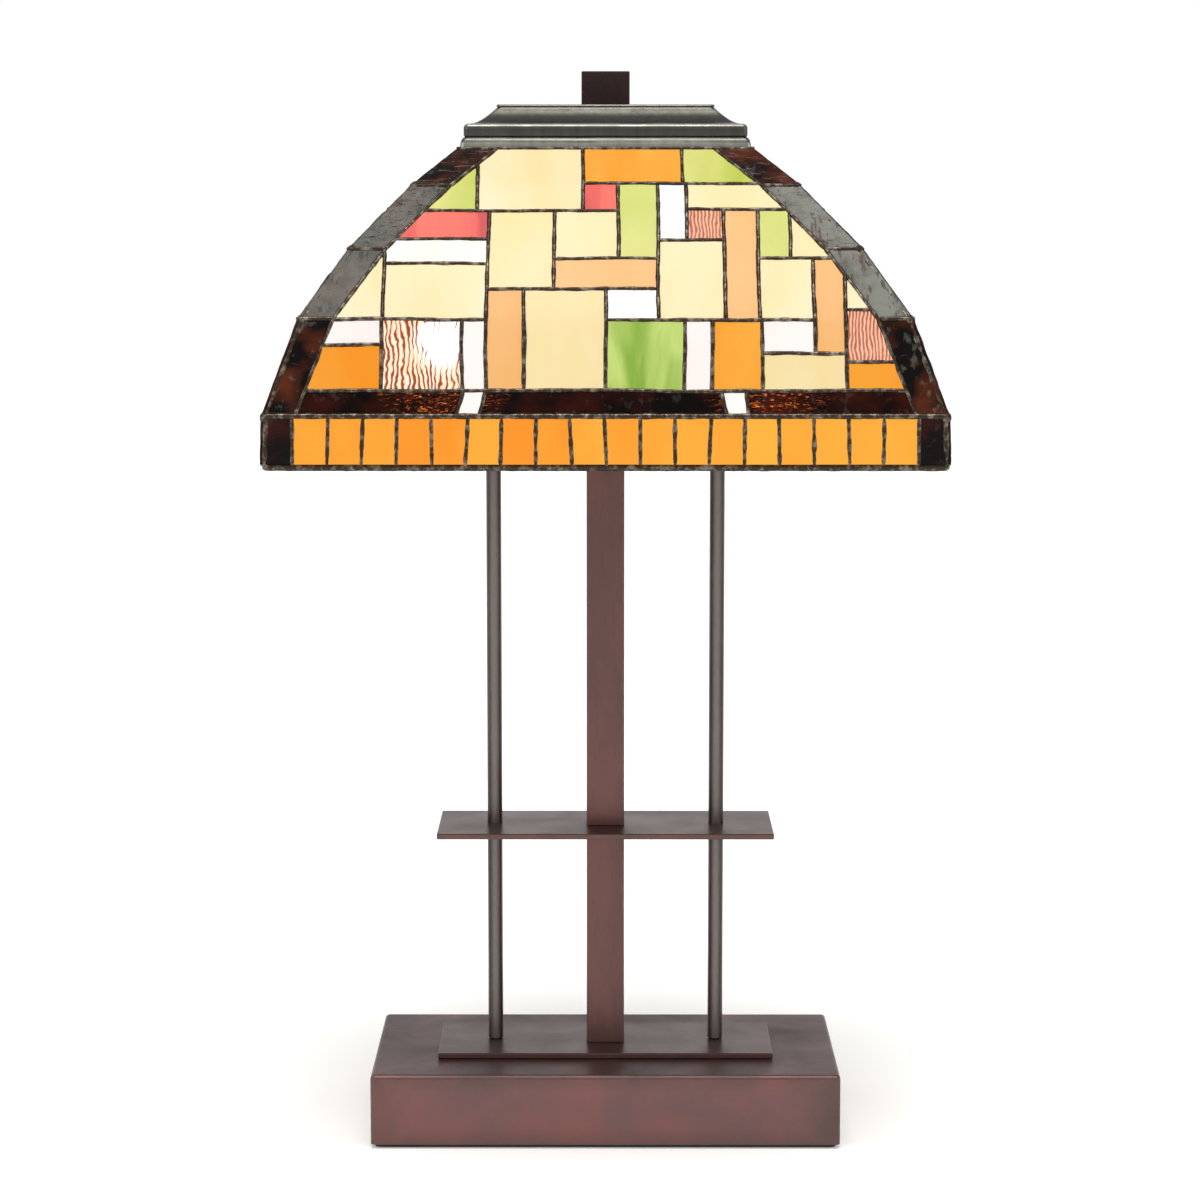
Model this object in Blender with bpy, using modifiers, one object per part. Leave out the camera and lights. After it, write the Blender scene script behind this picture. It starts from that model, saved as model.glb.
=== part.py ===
"""Stained glass table lamp: square leaded shade over a steel column, two rods and a weighted base.

Metres, +Z up.  The origin is on the table, under the middle of the lamp.  The front faces -Y.
"""
import math

import bmesh
import bpy
from mathutils import Matrix, Vector

# ---------------------------------------------------------------- driving dimensions
GAP = 0.0003                      # air between pieces that touch
ROUND = 24                        # segments round a turned piece
TOTAL_HEIGHT = 0.5588

BASE_WIDTH, BASE_DEPTH, BASE_TOP = 0.246, 0.128, 0.039
BASE_SHEET = 0.0015               # steel sheet of the base casing
BASE_EDGE = 0.0022                # outside radius of the folded edges
FELT_THICKNESS, FELT_INSET = 0.0015, 0.0020
COVER_THICKNESS = 0.0016
BALLAST_WIDTH, BALLAST_DEPTH, BALLAST_HEIGHT = 0.216, 0.104, 0.018
BOSS_X, BOSS_Y, BOSS_RADIUS = 0.098, 0.042, 0.007

PLATE_WIDTH, PLATE_DEPTH, PLATE_THICKNESS = 0.178, 0.064, 0.003
MID_PLATE_TOP = 0.161
TOP_PLATE_WIDTH, TOP_PLATE_DEPTH, TOP_PLATE_TOP = 0.150, 0.040, 0.359

COLUMN_SIDE, COLUMN_WALL = 0.020, 0.0015
ROD_X, ROD_RADIUS, STUD_RADIUS = 0.0592, 0.004, 0.0025
PIPE_RADIUS, PIPE_BORE = 0.0048, 0.0033
NUT_HEIGHT, WASHER = 0.0050, 0.0015

SOCKET_Z = 0.414                  # height of both lamp sockets' axis
CLUSTER_SIDE = 0.026
CLUSTER_BOTTOM, CLUSTER_TOP = SOCKET_Z - 0.016, SOCKET_Z + 0.016
SHELL_RADIUS, SHELL_WALL = 0.0172, 0.0010
KNOB_REACH = 0.0355               # knob's distance from the lamp's axis
LEAD_RADIUS, LEAD_OFFSET = 0.0010, 0.0016
GLAND_Z = 0.0105

# Shade: half width of the square and height, from the rim up to the cap.
SHADE_LEVELS = [(0.1657, 0.3680), (0.1648, 0.3918), (0.1484, 0.4375),
                (0.1254, 0.4704), (0.0962, 0.5009), (0.0735, 0.5193)]
GLASS = 0.003                     # glass thickness, solder included
CORNER_STRIP = 0.0155             # width of the dark strip beside each corner
RIM_HALF, RIM_BOTTOM, RIM_WALL = 0.1662, 0.3652, 0.0050
CAP_TOP, CAP_SHEET = 0.5411, 0.0012
FINIAL_SIDE = 0.025
RISER_RADIUS, RISER_THREAD = 0.0040, 0.0030
SEAT_Z = 0.5093                   # underside of the nut that carries the shade


# ---------------------------------------------------------------- scene and materials
def clear_scene():
    for obj in list(bpy.data.objects):
        bpy.data.objects.remove(obj, do_unlink=True)


def new_collection(name):
    collection = bpy.data.collections.new(name)
    bpy.context.scene.collection.children.link(collection)
    return collection


clear_scene()
PARTS = new_collection("stained_glass_table_lamp")
CUTTERS = new_collection("cutters")

FINISHES = {                      # colour, roughness, metallic
    "base_bronze": ((0.205, 0.108, 0.100), 0.42, 0.85),
    "plate_bronze": ((0.150, 0.112, 0.105), 0.38, 0.85),
    "column_bronze": ((0.130, 0.062, 0.056), 0.42, 0.85),
    "rod_bronze": ((0.080, 0.056, 0.050), 0.35, 0.85),
    "cap_pewter": ((0.085, 0.083, 0.072), 0.35, 0.90),
    "finial_bronze": ((0.030, 0.014, 0.013), 0.40, 0.80),
    "zinc": ((0.55, 0.55, 0.53), 0.40, 1.00),
    "brass": ((0.72, 0.52, 0.22), 0.30, 1.00),
    "cast_iron": ((0.06, 0.06, 0.06), 0.75, 0.60),
    "felt": ((0.020, 0.020, 0.020), 0.95, 0.00),
    "phenolic": ((0.030, 0.022, 0.018), 0.45, 0.00),
    "knob_black": ((0.015, 0.015, 0.015), 0.35, 0.00),
    "lead_wire": ((0.65, 0.48, 0.20), 0.50, 0.00),
    "bulb_white": ((0.95, 0.93, 0.88), 0.25, 0.00),
    "bulb_metal": ((0.70, 0.68, 0.62), 0.30, 1.00),
    "mosaic_glass": ((0.92, 0.80, 0.50), 0.20, 0.00),
    "tile_glass": ((0.95, 0.42, 0.08), 0.20, 0.00),
    "corner_glass": ((0.050, 0.018, 0.012), 0.15, 0.00),
    "lead_came": ((0.075, 0.070, 0.062), 0.40, 0.90),
}


def finish(name):
    """Return the named Principled material, made the first time it is asked for."""
    if name in bpy.data.materials:
        return bpy.data.materials[name]
    colour, roughness, metallic = FINISHES[name]
    material = bpy.data.materials.new(name)
    material.use_nodes = True
    shader = material.node_tree.nodes["Principled BSDF"]
    shader.inputs["Base Color"].default_value = (*colour, 1.0)
    shader.inputs["Roughness"].default_value = roughness
    shader.inputs["Metallic"].default_value = metallic
    return material


# ---------------------------------------------------------------- helpers
def pivot(name, location, turn=(0.0, 0.0, 0.0)):
    """An empty that carries the pieces of one axis."""
    empty = bpy.data.objects.new(name, None)
    empty.empty_display_size = 0.02
    empty.location = location
    empty.rotation_euler = turn
    PARTS.objects.link(empty)
    return empty


def add_object(name, mesh, material, parent=None, location=(0.0, 0.0, 0.0), turn=(0.0, 0.0, 0.0)):
    obj = bpy.data.objects.new(name, mesh)
    obj.location = location
    obj.rotation_euler = turn
    obj.parent = parent
    obj.data.materials.append(finish(material))
    PARTS.objects.link(obj)
    return obj


def mesh_from(bm, name):
    mesh = bpy.data.meshes.new(name)
    bm.to_mesh(mesh)
    bm.free()
    return mesh


def block(name, size, material, bottom, centre=(0.0, 0.0), edge=0.0, parent=None):
    """A box with its underside at the height bottom, its edges rounded by a Bevel."""
    bm = bmesh.new()
    bmesh.ops.create_cube(bm, size=1.0)
    bmesh.ops.scale(bm, vec=size, verts=bm.verts)
    obj = add_object(name, mesh_from(bm, name), material, parent,
                     (centre[0], centre[1], bottom + size[2] / 2))
    if edge:
        bevel = obj.modifiers.new("edges", "BEVEL")
        bevel.width = edge
        bevel.segments = 2
    return obj


def round_uprights(obj, width, segments=2):
    """Round only the four vertical edges of a block."""
    weights = obj.data.attributes.new("bevel_weight_edge", "FLOAT", "EDGE")
    for edge in obj.data.edges:
        low, high = (obj.data.vertices[i].co.z for i in edge.vertices)
        weights.data[edge.index].value = 1.0 if abs(low - high) > 1e-6 else 0.0
    bevel = obj.modifiers.new("uprights", "BEVEL")
    bevel.limit_method = "WEIGHT"
    bevel.width = width
    bevel.segments = segments


def turned(name, profile, material, parent=None, location=(0.0, 0.0, 0.0), closed=False, steps=ROUND):
    """A profile of (radius, height) turned about the object's Z axis.

    The profile runs down the outer side and back up the inner side.
    """
    mesh = bpy.data.meshes.new(name)
    edges = [(i, i + 1) for i in range(len(profile) - 1)]
    if closed:
        edges.append((len(profile) - 1, 0))
    mesh.from_pydata([(r, 0.0, z) for r, z in profile], edges, [])
    obj = add_object(name, mesh, material, parent, location)
    screw = obj.modifiers.new("turn", "SCREW")
    screw.axis = "Z"
    screw.angle = math.tau
    screw.steps = steps
    screw.render_steps = steps
    screw.use_merge_vertices = True
    screw.merge_threshold = 0.00001
    screw.use_smooth_shade = True
    return obj


def tube(name, outer, inner, low, high, material, **place):
    return turned(name, [(outer, high), (outer, low), (inner, low), (inner, high)],
                  material, closed=True, **place)


def cut(obj, cutter):
    """Take the cutter's volume out of the object."""
    boolean = obj.modifiers.new("cut_" + cutter.name, "BOOLEAN")
    boolean.operation = "DIFFERENCE"
    boolean.object = cutter
    return obj


def as_cutter(obj):
    PARTS.objects.unlink(obj)
    CUTTERS.objects.link(obj)
    obj.hide_render = True
    obj.display_type = "WIRE"
    return obj


def drill(name, radius, low, high, centre=(0.0, 0.0), sides=16):
    """A vertical drill that cuts between two heights."""
    bm = bmesh.new()
    bmesh.ops.create_cone(bm, cap_ends=True, segments=sides, radius1=radius, radius2=radius,
                          depth=high - low)
    mesh = mesh_from(bm, name)
    return as_cutter(add_object(name, mesh, "zinc", None, (*centre, (low + high) / 2)))


def side_drill(name, radius, start, end, sides=16):
    """A drill along the straight line from start to end."""
    line = Vector(end) - Vector(start)
    bm = bmesh.new()
    bmesh.ops.create_cone(bm, cap_ends=True, segments=sides, radius1=radius, radius2=radius,
                          depth=line.length)
    obj = add_object(name, mesh_from(bm, name), "zinc", None, (Vector(start) + Vector(end)) / 2)
    obj.rotation_mode = "QUATERNION"
    obj.rotation_quaternion = line.to_track_quat("Z", "Y")
    return as_cutter(obj)


def hex_nut(name, across_flats, low, high, material, bore, centre=(0.0, 0.0), parent=None):
    """A hexagon nut with a through hole of the given radius."""
    bm = bmesh.new()
    corner = across_flats / 2 / math.cos(math.radians(30))
    bmesh.ops.create_cone(bm, cap_ends=True, segments=6, radius1=corner, radius2=corner,
                          depth=high - low)
    nut = add_object(name, mesh_from(bm, name), material, parent, (*centre, (low + high) / 2))
    return cut(nut, drill(name + "_hole", bore, low - 0.001, high + 0.001, centre))


def loft(name, sections, material, parent=None):
    """A closed solid through rings of points; each ring has the same number of points.

    Rings run anticlockwise seen from the last ring.
    """
    bm = bmesh.new()
    rings = [[bm.verts.new(p) for p in ring] for ring in sections]
    count = len(rings[0])
    for lower, upper in zip(rings, rings[1:]):
        for i in range(count):
            j = (i + 1) % count
            bm.faces.new((lower[i], lower[j], upper[j], upper[i]))
    bm.faces.new(list(reversed(rings[0])))
    bm.faces.new(rings[-1])
    bmesh.ops.recalc_face_normals(bm, faces=bm.faces)
    return add_object(name, mesh_from(bm, name), material, parent)


# ---------------------------------------------------------------- base
CASING_BOTTOM = FELT_THICKNESS + GAP
CASING_CEILING = BASE_TOP - BASE_SHEET
COVER_TOP = CASING_BOTTOM + COVER_THICKNESS
BALLAST_TOP = CASING_CEILING - GAP
BALLAST_BOTTOM = BALLAST_TOP - BALLAST_HEIGHT
PLINTH_BOTTOM = BASE_TOP + GAP
PLINTH_TOP = PLINTH_BOTTOM + PLATE_THICKNESS
BOSSES = [(sx * BOSS_X, sy * BOSS_Y) for sx in (-1, 1) for sy in (-1, 1)]
ROD_PLACES = [("left", -ROD_X), ("right", ROD_X)]


def base_casing():
    """Folded steel box, open underneath, with holes for the pipe, the rod studs and the cord."""
    bm = bmesh.new()
    bmesh.ops.create_cube(bm, size=1.0)
    bmesh.ops.scale(bm, vec=(BASE_WIDTH, BASE_DEPTH, BASE_TOP - CASING_BOTTOM), verts=bm.verts)
    floor = [f for f in bm.faces if f.normal.z < -0.5]
    bmesh.ops.delete(bm, geom=floor, context="FACES_ONLY")
    obj = add_object("base_casing", mesh_from(bm, "base_casing"), "base_bronze", None,
                     (0.0, 0.0, (BASE_TOP + CASING_BOTTOM) / 2))
    bevel = obj.modifiers.new("folds", "BEVEL")
    bevel.width = BASE_EDGE
    bevel.segments = 3
    sheet = obj.modifiers.new("sheet", "SOLIDIFY")
    sheet.thickness = BASE_SHEET
    sheet.offset = -1.0
    sheet.use_even_offset = True
    low, high = CASING_CEILING - 0.003, BASE_TOP + 0.003
    cut(obj, drill("casing_pipe_hole", PIPE_RADIUS + GAP * 2, low, high))
    for side, x in ROD_PLACES:
        cut(obj, drill("casing_stud_hole_" + side, STUD_RADIUS + GAP, low, high, (x, 0.0)))
    back = BASE_DEPTH / 2
    cut(obj, side_drill("casing_cord_hole", 0.0047, (0.0, back - 0.005, GLAND_Z),
                        (0.0, back + 0.005, GLAND_Z)))


def base_ballast():
    """Cast iron weight with four bosses that carry the bottom cover."""
    obj = block("base_ballast", (BALLAST_WIDTH, BALLAST_DEPTH, BALLAST_HEIGHT), "cast_iron",
                BALLAST_BOTTOM, edge=0.002)
    low, high = BALLAST_BOTTOM - 0.002, BALLAST_TOP + 0.002
    for i, place in enumerate(BOSSES):
        boss = drill("boss_%d" % (i + 1), BOSS_RADIUS, COVER_TOP + GAP, BALLAST_BOTTOM + 0.004, place)
        join = obj.modifiers.new("join_" + boss.name, "BOOLEAN")
        join.operation = "UNION"
        join.object = boss
        cut(obj, drill("boss_hole_%d" % (i + 1), 0.0020 + GAP, COVER_TOP - 0.001, 0.0125, place))
    cut(obj, drill("ballast_pipe_hole", PIPE_RADIUS + GAP * 2, low, high))
    for side, x in ROD_PLACES:
        cut(obj, drill("ballast_stud_hole_" + side, STUD_RADIUS + GAP, low, high, (x, 0.0)))


def bottom_cover():
    """Steel plate that closes the casing from below."""
    clearance = BASE_SHEET + GAP
    size = (BASE_WIDTH - 2 * clearance, BASE_DEPTH - 2 * clearance, COVER_THICKNESS)
    obj = block("bottom_cover", size, "zinc", CASING_BOTTOM)
    round_uprights(obj, 0.0015)
    for i, place in enumerate(BOSSES):
        cut(obj, drill("cover_hole_%d" % (i + 1), 0.0023, 0.0, COVER_TOP + 0.002, place))


def felt_pad():
    """Felt sheet glued under the cover, with openings over the screw heads."""
    size = (BASE_WIDTH - 2 * FELT_INSET, BASE_DEPTH - 2 * FELT_INSET, FELT_THICKNESS)
    obj = block("felt_pad", size, "felt", 0.0)
    round_uprights(obj, 0.0030)
    for i, place in enumerate(BOSSES):
        cut(obj, drill("felt_hole_%d" % (i + 1), 0.0048, -0.001, FELT_THICKNESS + 0.001, place))


def cover_screws():
    """Four pan-head screws that hold the cover to the ballast's bosses."""
    head_top = CASING_BOTTOM - GAP
    profile = [(0.0, 0.0110), (0.0020, 0.0110), (0.0020, head_top), (0.0036, head_top),
               (0.0034, 0.0006), (0.0026, 0.0003), (0.0, 0.0003)]
    for i, (x, y) in enumerate(BOSSES):
        turned("cover_screw_%d" % (i + 1), profile, "zinc", location=(x, y, 0.0), steps=12)


def cord_gland():
    """Bushing in the back wall that the supply cord comes through."""
    back = BASE_DEPTH / 2
    wall = BASE_SHEET + GAP
    profile = [(0.0033, 0.0022), (0.0055, 0.0022), (0.0062, 0.0014), (0.0064, GAP),
               (0.0043, GAP), (0.0043, -wall), (0.0053, -wall), (0.0048, -0.0045),
               (0.0040, -0.0050), (0.0033, -0.0050)]
    axis = pivot("cord_gland_axis", (0.0, back, GLAND_Z), (-math.pi / 2, 0.0, 0.0))
    turned("cord_gland", profile, "knob_black", parent=axis, closed=True, steps=16)


def base_fasteners():
    """Washer and lock nuts that clamp the column and the rods through the ballast."""
    washer_low = BALLAST_BOTTOM - GAP - WASHER
    tube("pipe_washer", 0.012, PIPE_RADIUS + GAP, washer_low, BALLAST_BOTTOM - GAP, "zinc")
    top = washer_low - GAP
    hex_nut("pipe_lock_nut", 0.015, top - NUT_HEIGHT, top, "zinc", PIPE_RADIUS + GAP)
    top = BALLAST_BOTTOM - GAP
    for side, x in ROD_PLACES:
        hex_nut("rod_lock_nut_" + side, 0.010, top - NUT_HEIGHT, top, "zinc",
                STUD_RADIUS + GAP, (x, 0.0))


# ---------------------------------------------------------------- column, rods and plates
def flat_plate(name, width, depth, top, rod_hole):
    """A plate that the pipe and both rods pass through."""
    obj = block(name, (width, depth, PLATE_THICKNESS), "plate_bronze", top - PLATE_THICKNESS,
                edge=0.0005)
    low, high = top - PLATE_THICKNESS - 0.002, top + 0.002
    cut(obj, drill(name + "_pipe_hole", PIPE_RADIUS + GAP, low, high))
    for side, x in ROD_PLACES:
        cut(obj, drill(name + "_hole_" + side, rod_hole, low, high, (x, 0.0)))


def column(name, low, high):
    """Square tube that stands on one plate and carries the next."""
    obj = block(name, (COLUMN_SIDE, COLUMN_SIDE, high - low), "column_bronze", low)
    round_uprights(obj, 0.0010)
    inside = COLUMN_SIDE - 2 * COLUMN_WALL
    core = block(name + "_core", (inside, inside, high - low + 0.01), "zinc", low - 0.005)
    cut(obj, as_cutter(core))


def support_rods():
    """Round rods with a thin threaded stud at each end."""
    foot, head = PLINTH_TOP + GAP, TOP_PLATE_TOP - PLATE_THICKNESS - GAP
    stud_top, stud_bottom = TOP_PLATE_TOP + 0.0050, 0.0122
    profile = [(0.0, stud_top), (STUD_RADIUS, stud_top), (STUD_RADIUS, head), (ROD_RADIUS, head),
               (ROD_RADIUS, foot), (STUD_RADIUS, foot), (STUD_RADIUS, stud_bottom), (0.0, stud_bottom)]
    for side, x in ROD_PLACES:
        turned("rod_" + side, profile, "rod_bronze", location=(x, 0.0, 0.0), steps=20)


def rod_cap_nuts():
    """Domed nuts that close the rods' upper ends."""
    low = TOP_PLATE_TOP + GAP
    bore = STUD_RADIUS + GAP
    bore_top = TOP_PLATE_TOP + 0.0054
    profile = [(0.0, low + 0.0070), (0.0022, low + 0.0067), (0.0038, low + 0.0055),
               (0.0045, low + 0.0035), (0.0050, low + 0.0032), (0.0050, low), (bore, low),
               (bore, bore_top), (0.0, bore_top)]
    for side, x in ROD_PLACES:
        turned("rod_cap_nut_" + side, profile, "zinc", location=(x, 0.0, 0.0), steps=12)


def centre_pipe():
    """Threaded pipe that ties base, plates and socket cluster together and carries the wires."""
    tube("centre_pipe", PIPE_RADIUS, PIPE_BORE, 0.0110, SOCKET_Z - 0.0060, "zinc", steps=16)
    low = TOP_PLATE_TOP + GAP
    hex_nut("column_top_nut", 0.015, low, low + NUT_HEIGHT, "zinc", PIPE_RADIUS + GAP)


# ---------------------------------------------------------------- socket cluster and bulbs
def cluster_body():
    """Die-cast block that joins the pipe, both sockets and the riser."""
    obj = block("cluster_body", (CLUSTER_SIDE, CLUSTER_SIDE, CLUSTER_TOP - CLUSTER_BOTTOM),
                "brass", CLUSTER_BOTTOM, edge=0.0015)
    bore = PIPE_RADIUS + GAP
    cut(obj, drill("cluster_bore", bore, CLUSTER_BOTTOM - 0.005, CLUSTER_TOP + 0.005))
    reach = CLUSTER_SIDE
    cut(obj, side_drill("cluster_cross_bore", bore, (-reach, 0.0, SOCKET_Z), (reach, 0.0, SOCKET_Z)))


def bulb_outline(swell, neck, neck_end, widest, tip, count=6):
    """Points down one side of a pear-shaped bulb, from the tip to the neck."""
    points = []
    for i in range(count + 1):
        a = math.radians(90.0 * i / count)
        points.append((swell * math.sin(a), widest + (tip - widest) * math.cos(a)))
    for i in range(1, count):
        t = i / count
        blend = 0.5 + 0.5 * math.cos(math.pi * t)
        points.append((neck + (swell - neck) * blend, widest + (neck_end - widest) * t))
    points.append((neck, neck_end))
    return points


def socket_set(side, direction):
    """One socket with its knob and bulb, built along an axis that points away from the column."""
    axis = pivot("socket_axis_" + side, (0.0, 0.0, SOCKET_Z), (0.0, direction * math.pi / 2, 0.0))
    bore = PIPE_RADIUS + GAP

    tube("nipple_" + side, PIPE_RADIUS, PIPE_BORE, 0.0058, 0.0220, "zinc", parent=axis, steps=16)

    cap = [(0.0176, 0.0300), (0.0176, 0.0272), (0.0150, 0.0222), (0.0100, 0.0187), (0.0068, 0.0172),
           (0.0068, 0.0134), (bore, 0.0134), (bore, 0.0182), (0.0095, 0.0199), (0.0143, 0.0231),
           (0.0166, 0.0275), (0.0166, 0.0300)]
    turned("socket_cap_" + side, cap, "brass", parent=axis, closed=True)

    inner = SHELL_RADIUS - SHELL_WALL
    lip = SHELL_RADIUS + 0.0008
    shell = [(inner, 0.0620), (lip, 0.0620), (lip + 0.0002, 0.0610), (lip, 0.0600),
             (SHELL_RADIUS, 0.0590), (SHELL_RADIUS, 0.0303), (inner, 0.0303)]
    shell_obj = turned("socket_shell_" + side, shell, "brass", parent=axis, closed=True)

    cup = [(0.0, 0.0400), (0.0139, 0.0400), (0.0139, 0.0580), (0.0159, 0.0580), (0.0159, 0.0306),
           (0.0, 0.0306)]
    insert_obj = turned("socket_insert_" + side, cup, "phenolic", parent=axis)

    knob_x = direction * KNOB_REACH
    hole = side_drill("knob_hole_" + side, 0.0024, (knob_x, -0.0080, SOCKET_Z),
                      (knob_x, -0.0250, SOCKET_Z))
    cut(shell_obj, hole)
    cut(insert_obj, hole)
    return axis


def turn_knob(side, direction):
    """Fluted switch knob on a shaft that points forwards out of the socket."""
    axis = pivot("knob_axis_" + side, (direction * KNOB_REACH, 0.0, SOCKET_Z), (math.pi / 2, 0.0, 0.0))
    outline = [(0.0018, 0.0018, 0.0086), (0.0018, 0.0018, 0.0190), (0.0034, 0.0034, 0.0192),
               (0.0048, 0.0042, 0.0204), (0.0050, 0.0043, 0.0290), (0.0038, 0.0034, 0.0303)]
    flutes = 12
    sections = []
    for ridge, valley, height in outline:
        ring = []
        for i in range(2 * flutes):
            radius = ridge if i % 2 == 0 else valley
            a = math.tau * i / (2 * flutes)
            ring.append((radius * math.cos(a), radius * math.sin(a), height))
        sections.append(ring)
    loft("turn_knob_" + side, sections, "knob_black", axis)


def bulb(side, axis):
    """Screw-base bulb: a glass envelope cemented into a threaded metal base."""
    thread_start, thread_end, ribs = 0.0450, 0.0590, 5
    outside = [(0.0136, 0.0625), (0.0130, 0.0605)]
    steps = ribs * 2
    for i in range(steps + 1):
        z = thread_end + (thread_start - thread_end) * i / steps
        outside.append((0.0131 + 0.0004 * (-1) ** i, z))
    outside += [(0.0095, 0.0432), (0.0045, 0.0418), (0.0043, 0.0408), (0.0, 0.0408)]
    inside = [(0.0, 0.0470), (0.0122, 0.0470), (0.0124, 0.0625)]
    turned("bulb_base_" + side, inside + outside, "bulb_metal", parent=axis, steps=20)

    wall = 0.0010
    outer = bulb_outline(0.0240, 0.0118, 0.0620, 0.0985, 0.1240)
    inner = bulb_outline(0.0240 - wall, 0.0118 - wall, 0.0620, 0.0985, 0.1240 - wall)
    profile = outer + [(0.0118, 0.0480), (0.0118 - wall, 0.0480)] + inner[::-1]
    turned("bulb_glass_" + side, profile, "bulb_white", parent=axis, steps=20)


def inner_leads():
    """Insulated wires from the cord entry, up the pipe, to the back of each socket."""
    for side, direction in (("left", -1), ("right", 1)):
        x = direction * LEAD_OFFSET
        route = [(x, 0.0540, GLAND_Z), (x, 0.0400, 0.0085), (x, 0.0200, 0.0068), (x, 0.0090, 0.0064),
                 (x, 0.0045, 0.0070), (x, 0.0016, 0.0086), (x, 0.0003, 0.0110), (x, 0.0, 0.0140),
                 (x, 0.0, 0.2000), (x, 0.0, SOCKET_Z - 0.0090),
                 (direction * 0.0020, 0.0, SOCKET_Z - 0.0055),
                 (direction * 0.0034, 0.0, SOCKET_Z - 0.0024),
                 (direction * 0.0056, 0.0, SOCKET_Z - 0.0005),
                 (direction * 0.0085, 0.0, SOCKET_Z), (direction * 0.0250, 0.0, SOCKET_Z)]
        curve = bpy.data.curves.new("lead_" + side, "CURVE")
        curve.dimensions = "3D"
        curve.bevel_depth = LEAD_RADIUS
        curve.bevel_resolution = 2
        curve.use_fill_caps = True
        spline = curve.splines.new("POLY")
        spline.points.add(len(route) - 1)
        for point, place in zip(spline.points, route):
            point.co = (*place, 1.0)
        obj = bpy.data.objects.new("lead_" + side, curve)
        curve.materials.append(finish("lead_wire"))
        PARTS.objects.link(obj)


def riser():
    """Rod from the cluster to the finial, with the nut that the shade stands on."""
    shoulder = SEAT_Z - GAP
    foot = CLUSTER_TOP - 0.0090
    profile = [(0.0, 0.5520), (RISER_THREAD, 0.5520), (RISER_THREAD, shoulder),
               (RISER_RADIUS, shoulder), (RISER_RADIUS, CLUSTER_TOP + 0.0060),
               (PIPE_RADIUS, CLUSTER_TOP + 0.0050), (PIPE_RADIUS, foot), (0.0, foot)]
    turned("riser_rod", profile, "brass", steps=16)
    hex_nut("seat_nut", 0.014, SEAT_Z, SEAT_Z + NUT_HEIGHT, "brass", RISER_THREAD + GAP)


# ---------------------------------------------------------------- shade
def slope_angle(level):
    """Angle of the facet above a level, between the glass and the horizontal."""
    (w0, z0), (w1, z1) = SHADE_LEVELS[level], SHADE_LEVELS[level + 1]
    return math.atan2(z1 - z0, w0 - w1)


def strip_width(level):
    """Sideways width of the corner strip in the facet above a level."""
    (w0, z0), (w1, z1) = SHADE_LEVELS[level], SHADE_LEVELS[level + 1]
    along = math.hypot(w0 - w1, z1 - z0)
    return CORNER_STRIP * math.hypot(along, w0 - w1) / along


def at_level(level, value):
    """Mean of a facet value below and above a level."""
    below, above = max(level - 1, 0), min(level, len(SHADE_LEVELS) - 2)
    return (value(below) + value(above)) / 2


def wall_width(level):
    """Horizontal thickness of the sloping glass at a level."""
    return at_level(level, lambda facet: GLASS / math.sin(slope_angle(facet)))


def field_half(level):
    """Half width of a face between its two corner strips."""
    return SHADE_LEVELS[level][0] - at_level(level, strip_width)


def panel_ring(half, width, wall, z):
    """Cross-section of a front panel: a thin rectangle at one height."""
    return [(-half, -width, z), (half, -width, z), (half, -width + wall, z), (-half, -width + wall, z)]


def quarter_turned(points, quarter):
    turn = Matrix.Rotation(quarter * math.pi / 2, 3, "Z")
    return [tuple(turn @ Vector(p)) for p in points]


FACES = ["front", "right", "back", "left"]
CORNERS = ["front_left", "front_right", "back_right", "back_left"]


def glass_panels(shade):
    """On each face, the tiled band of the skirt and the mosaic field above it."""
    skirt_width, skirt_z = SHADE_LEVELS[1]
    for quarter, face in enumerate(FACES):
        band = []
        for level, lift in ((0, 0.0), (1, -GAP)):
            width, z = SHADE_LEVELS[level]
            band.append(panel_ring(field_half(level) - GAP / 2, width, wall_width(0), z + lift))
        loft("tile_band_" + face, [quarter_turned(r, quarter) for r in band], "tile_glass", shade)
        field = []
        for level in range(1, len(SHADE_LEVELS)):
            width, z = SHADE_LEVELS[level]
            field.append(panel_ring(field_half(level) - GAP / 2, width, wall_width(level), z))
        loft("mosaic_panel_" + face, [quarter_turned(r, quarter) for r in field], "mosaic_glass", shade)


def corner_strips(shade):
    """Dark strips on both sides of each corner, soldered into one angle."""
    sections = []
    for level, (width, z) in enumerate(SHADE_LEVELS):
        edge = field_half(level) + GAP / 2
        inner = width - wall_width(level)
        sections.append([(-width, -width, z), (-edge, -width, z), (-edge, -inner, z),
                         (-inner, -inner, z), (-inner, -edge, z), (-width, -edge, z)])
    for quarter, corner in enumerate(CORNERS):
        loft("corner_strip_" + corner, [quarter_turned(r, quarter) for r in sections],
             "corner_glass", shade)


def square_turned(name, profile, material, shade, closed=False):
    """A profile of (half width, height) carried round the square, down outside and up inside."""
    diagonal = math.sqrt(2.0)
    points = [(half * diagonal, height) for half, height in profile]
    obj = turned(name, points, material, parent=shade, closed=closed, steps=4)
    obj.rotation_euler.z = math.pi / 4
    obj.modifiers["turn"].use_smooth_shade = False
    return obj


def rim_channel(shade):
    """Lead channel that borders the lower edge of the skirt."""
    top = SHADE_LEVELS[0][1] - GAP
    inner = RIM_HALF - RIM_WALL
    ring = [(RIM_HALF, top), (RIM_HALF, RIM_BOTTOM), (inner, RIM_BOTTOM), (inner, top)]
    square_turned("rim_channel", ring, "lead_came", shade, closed=True)


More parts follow.
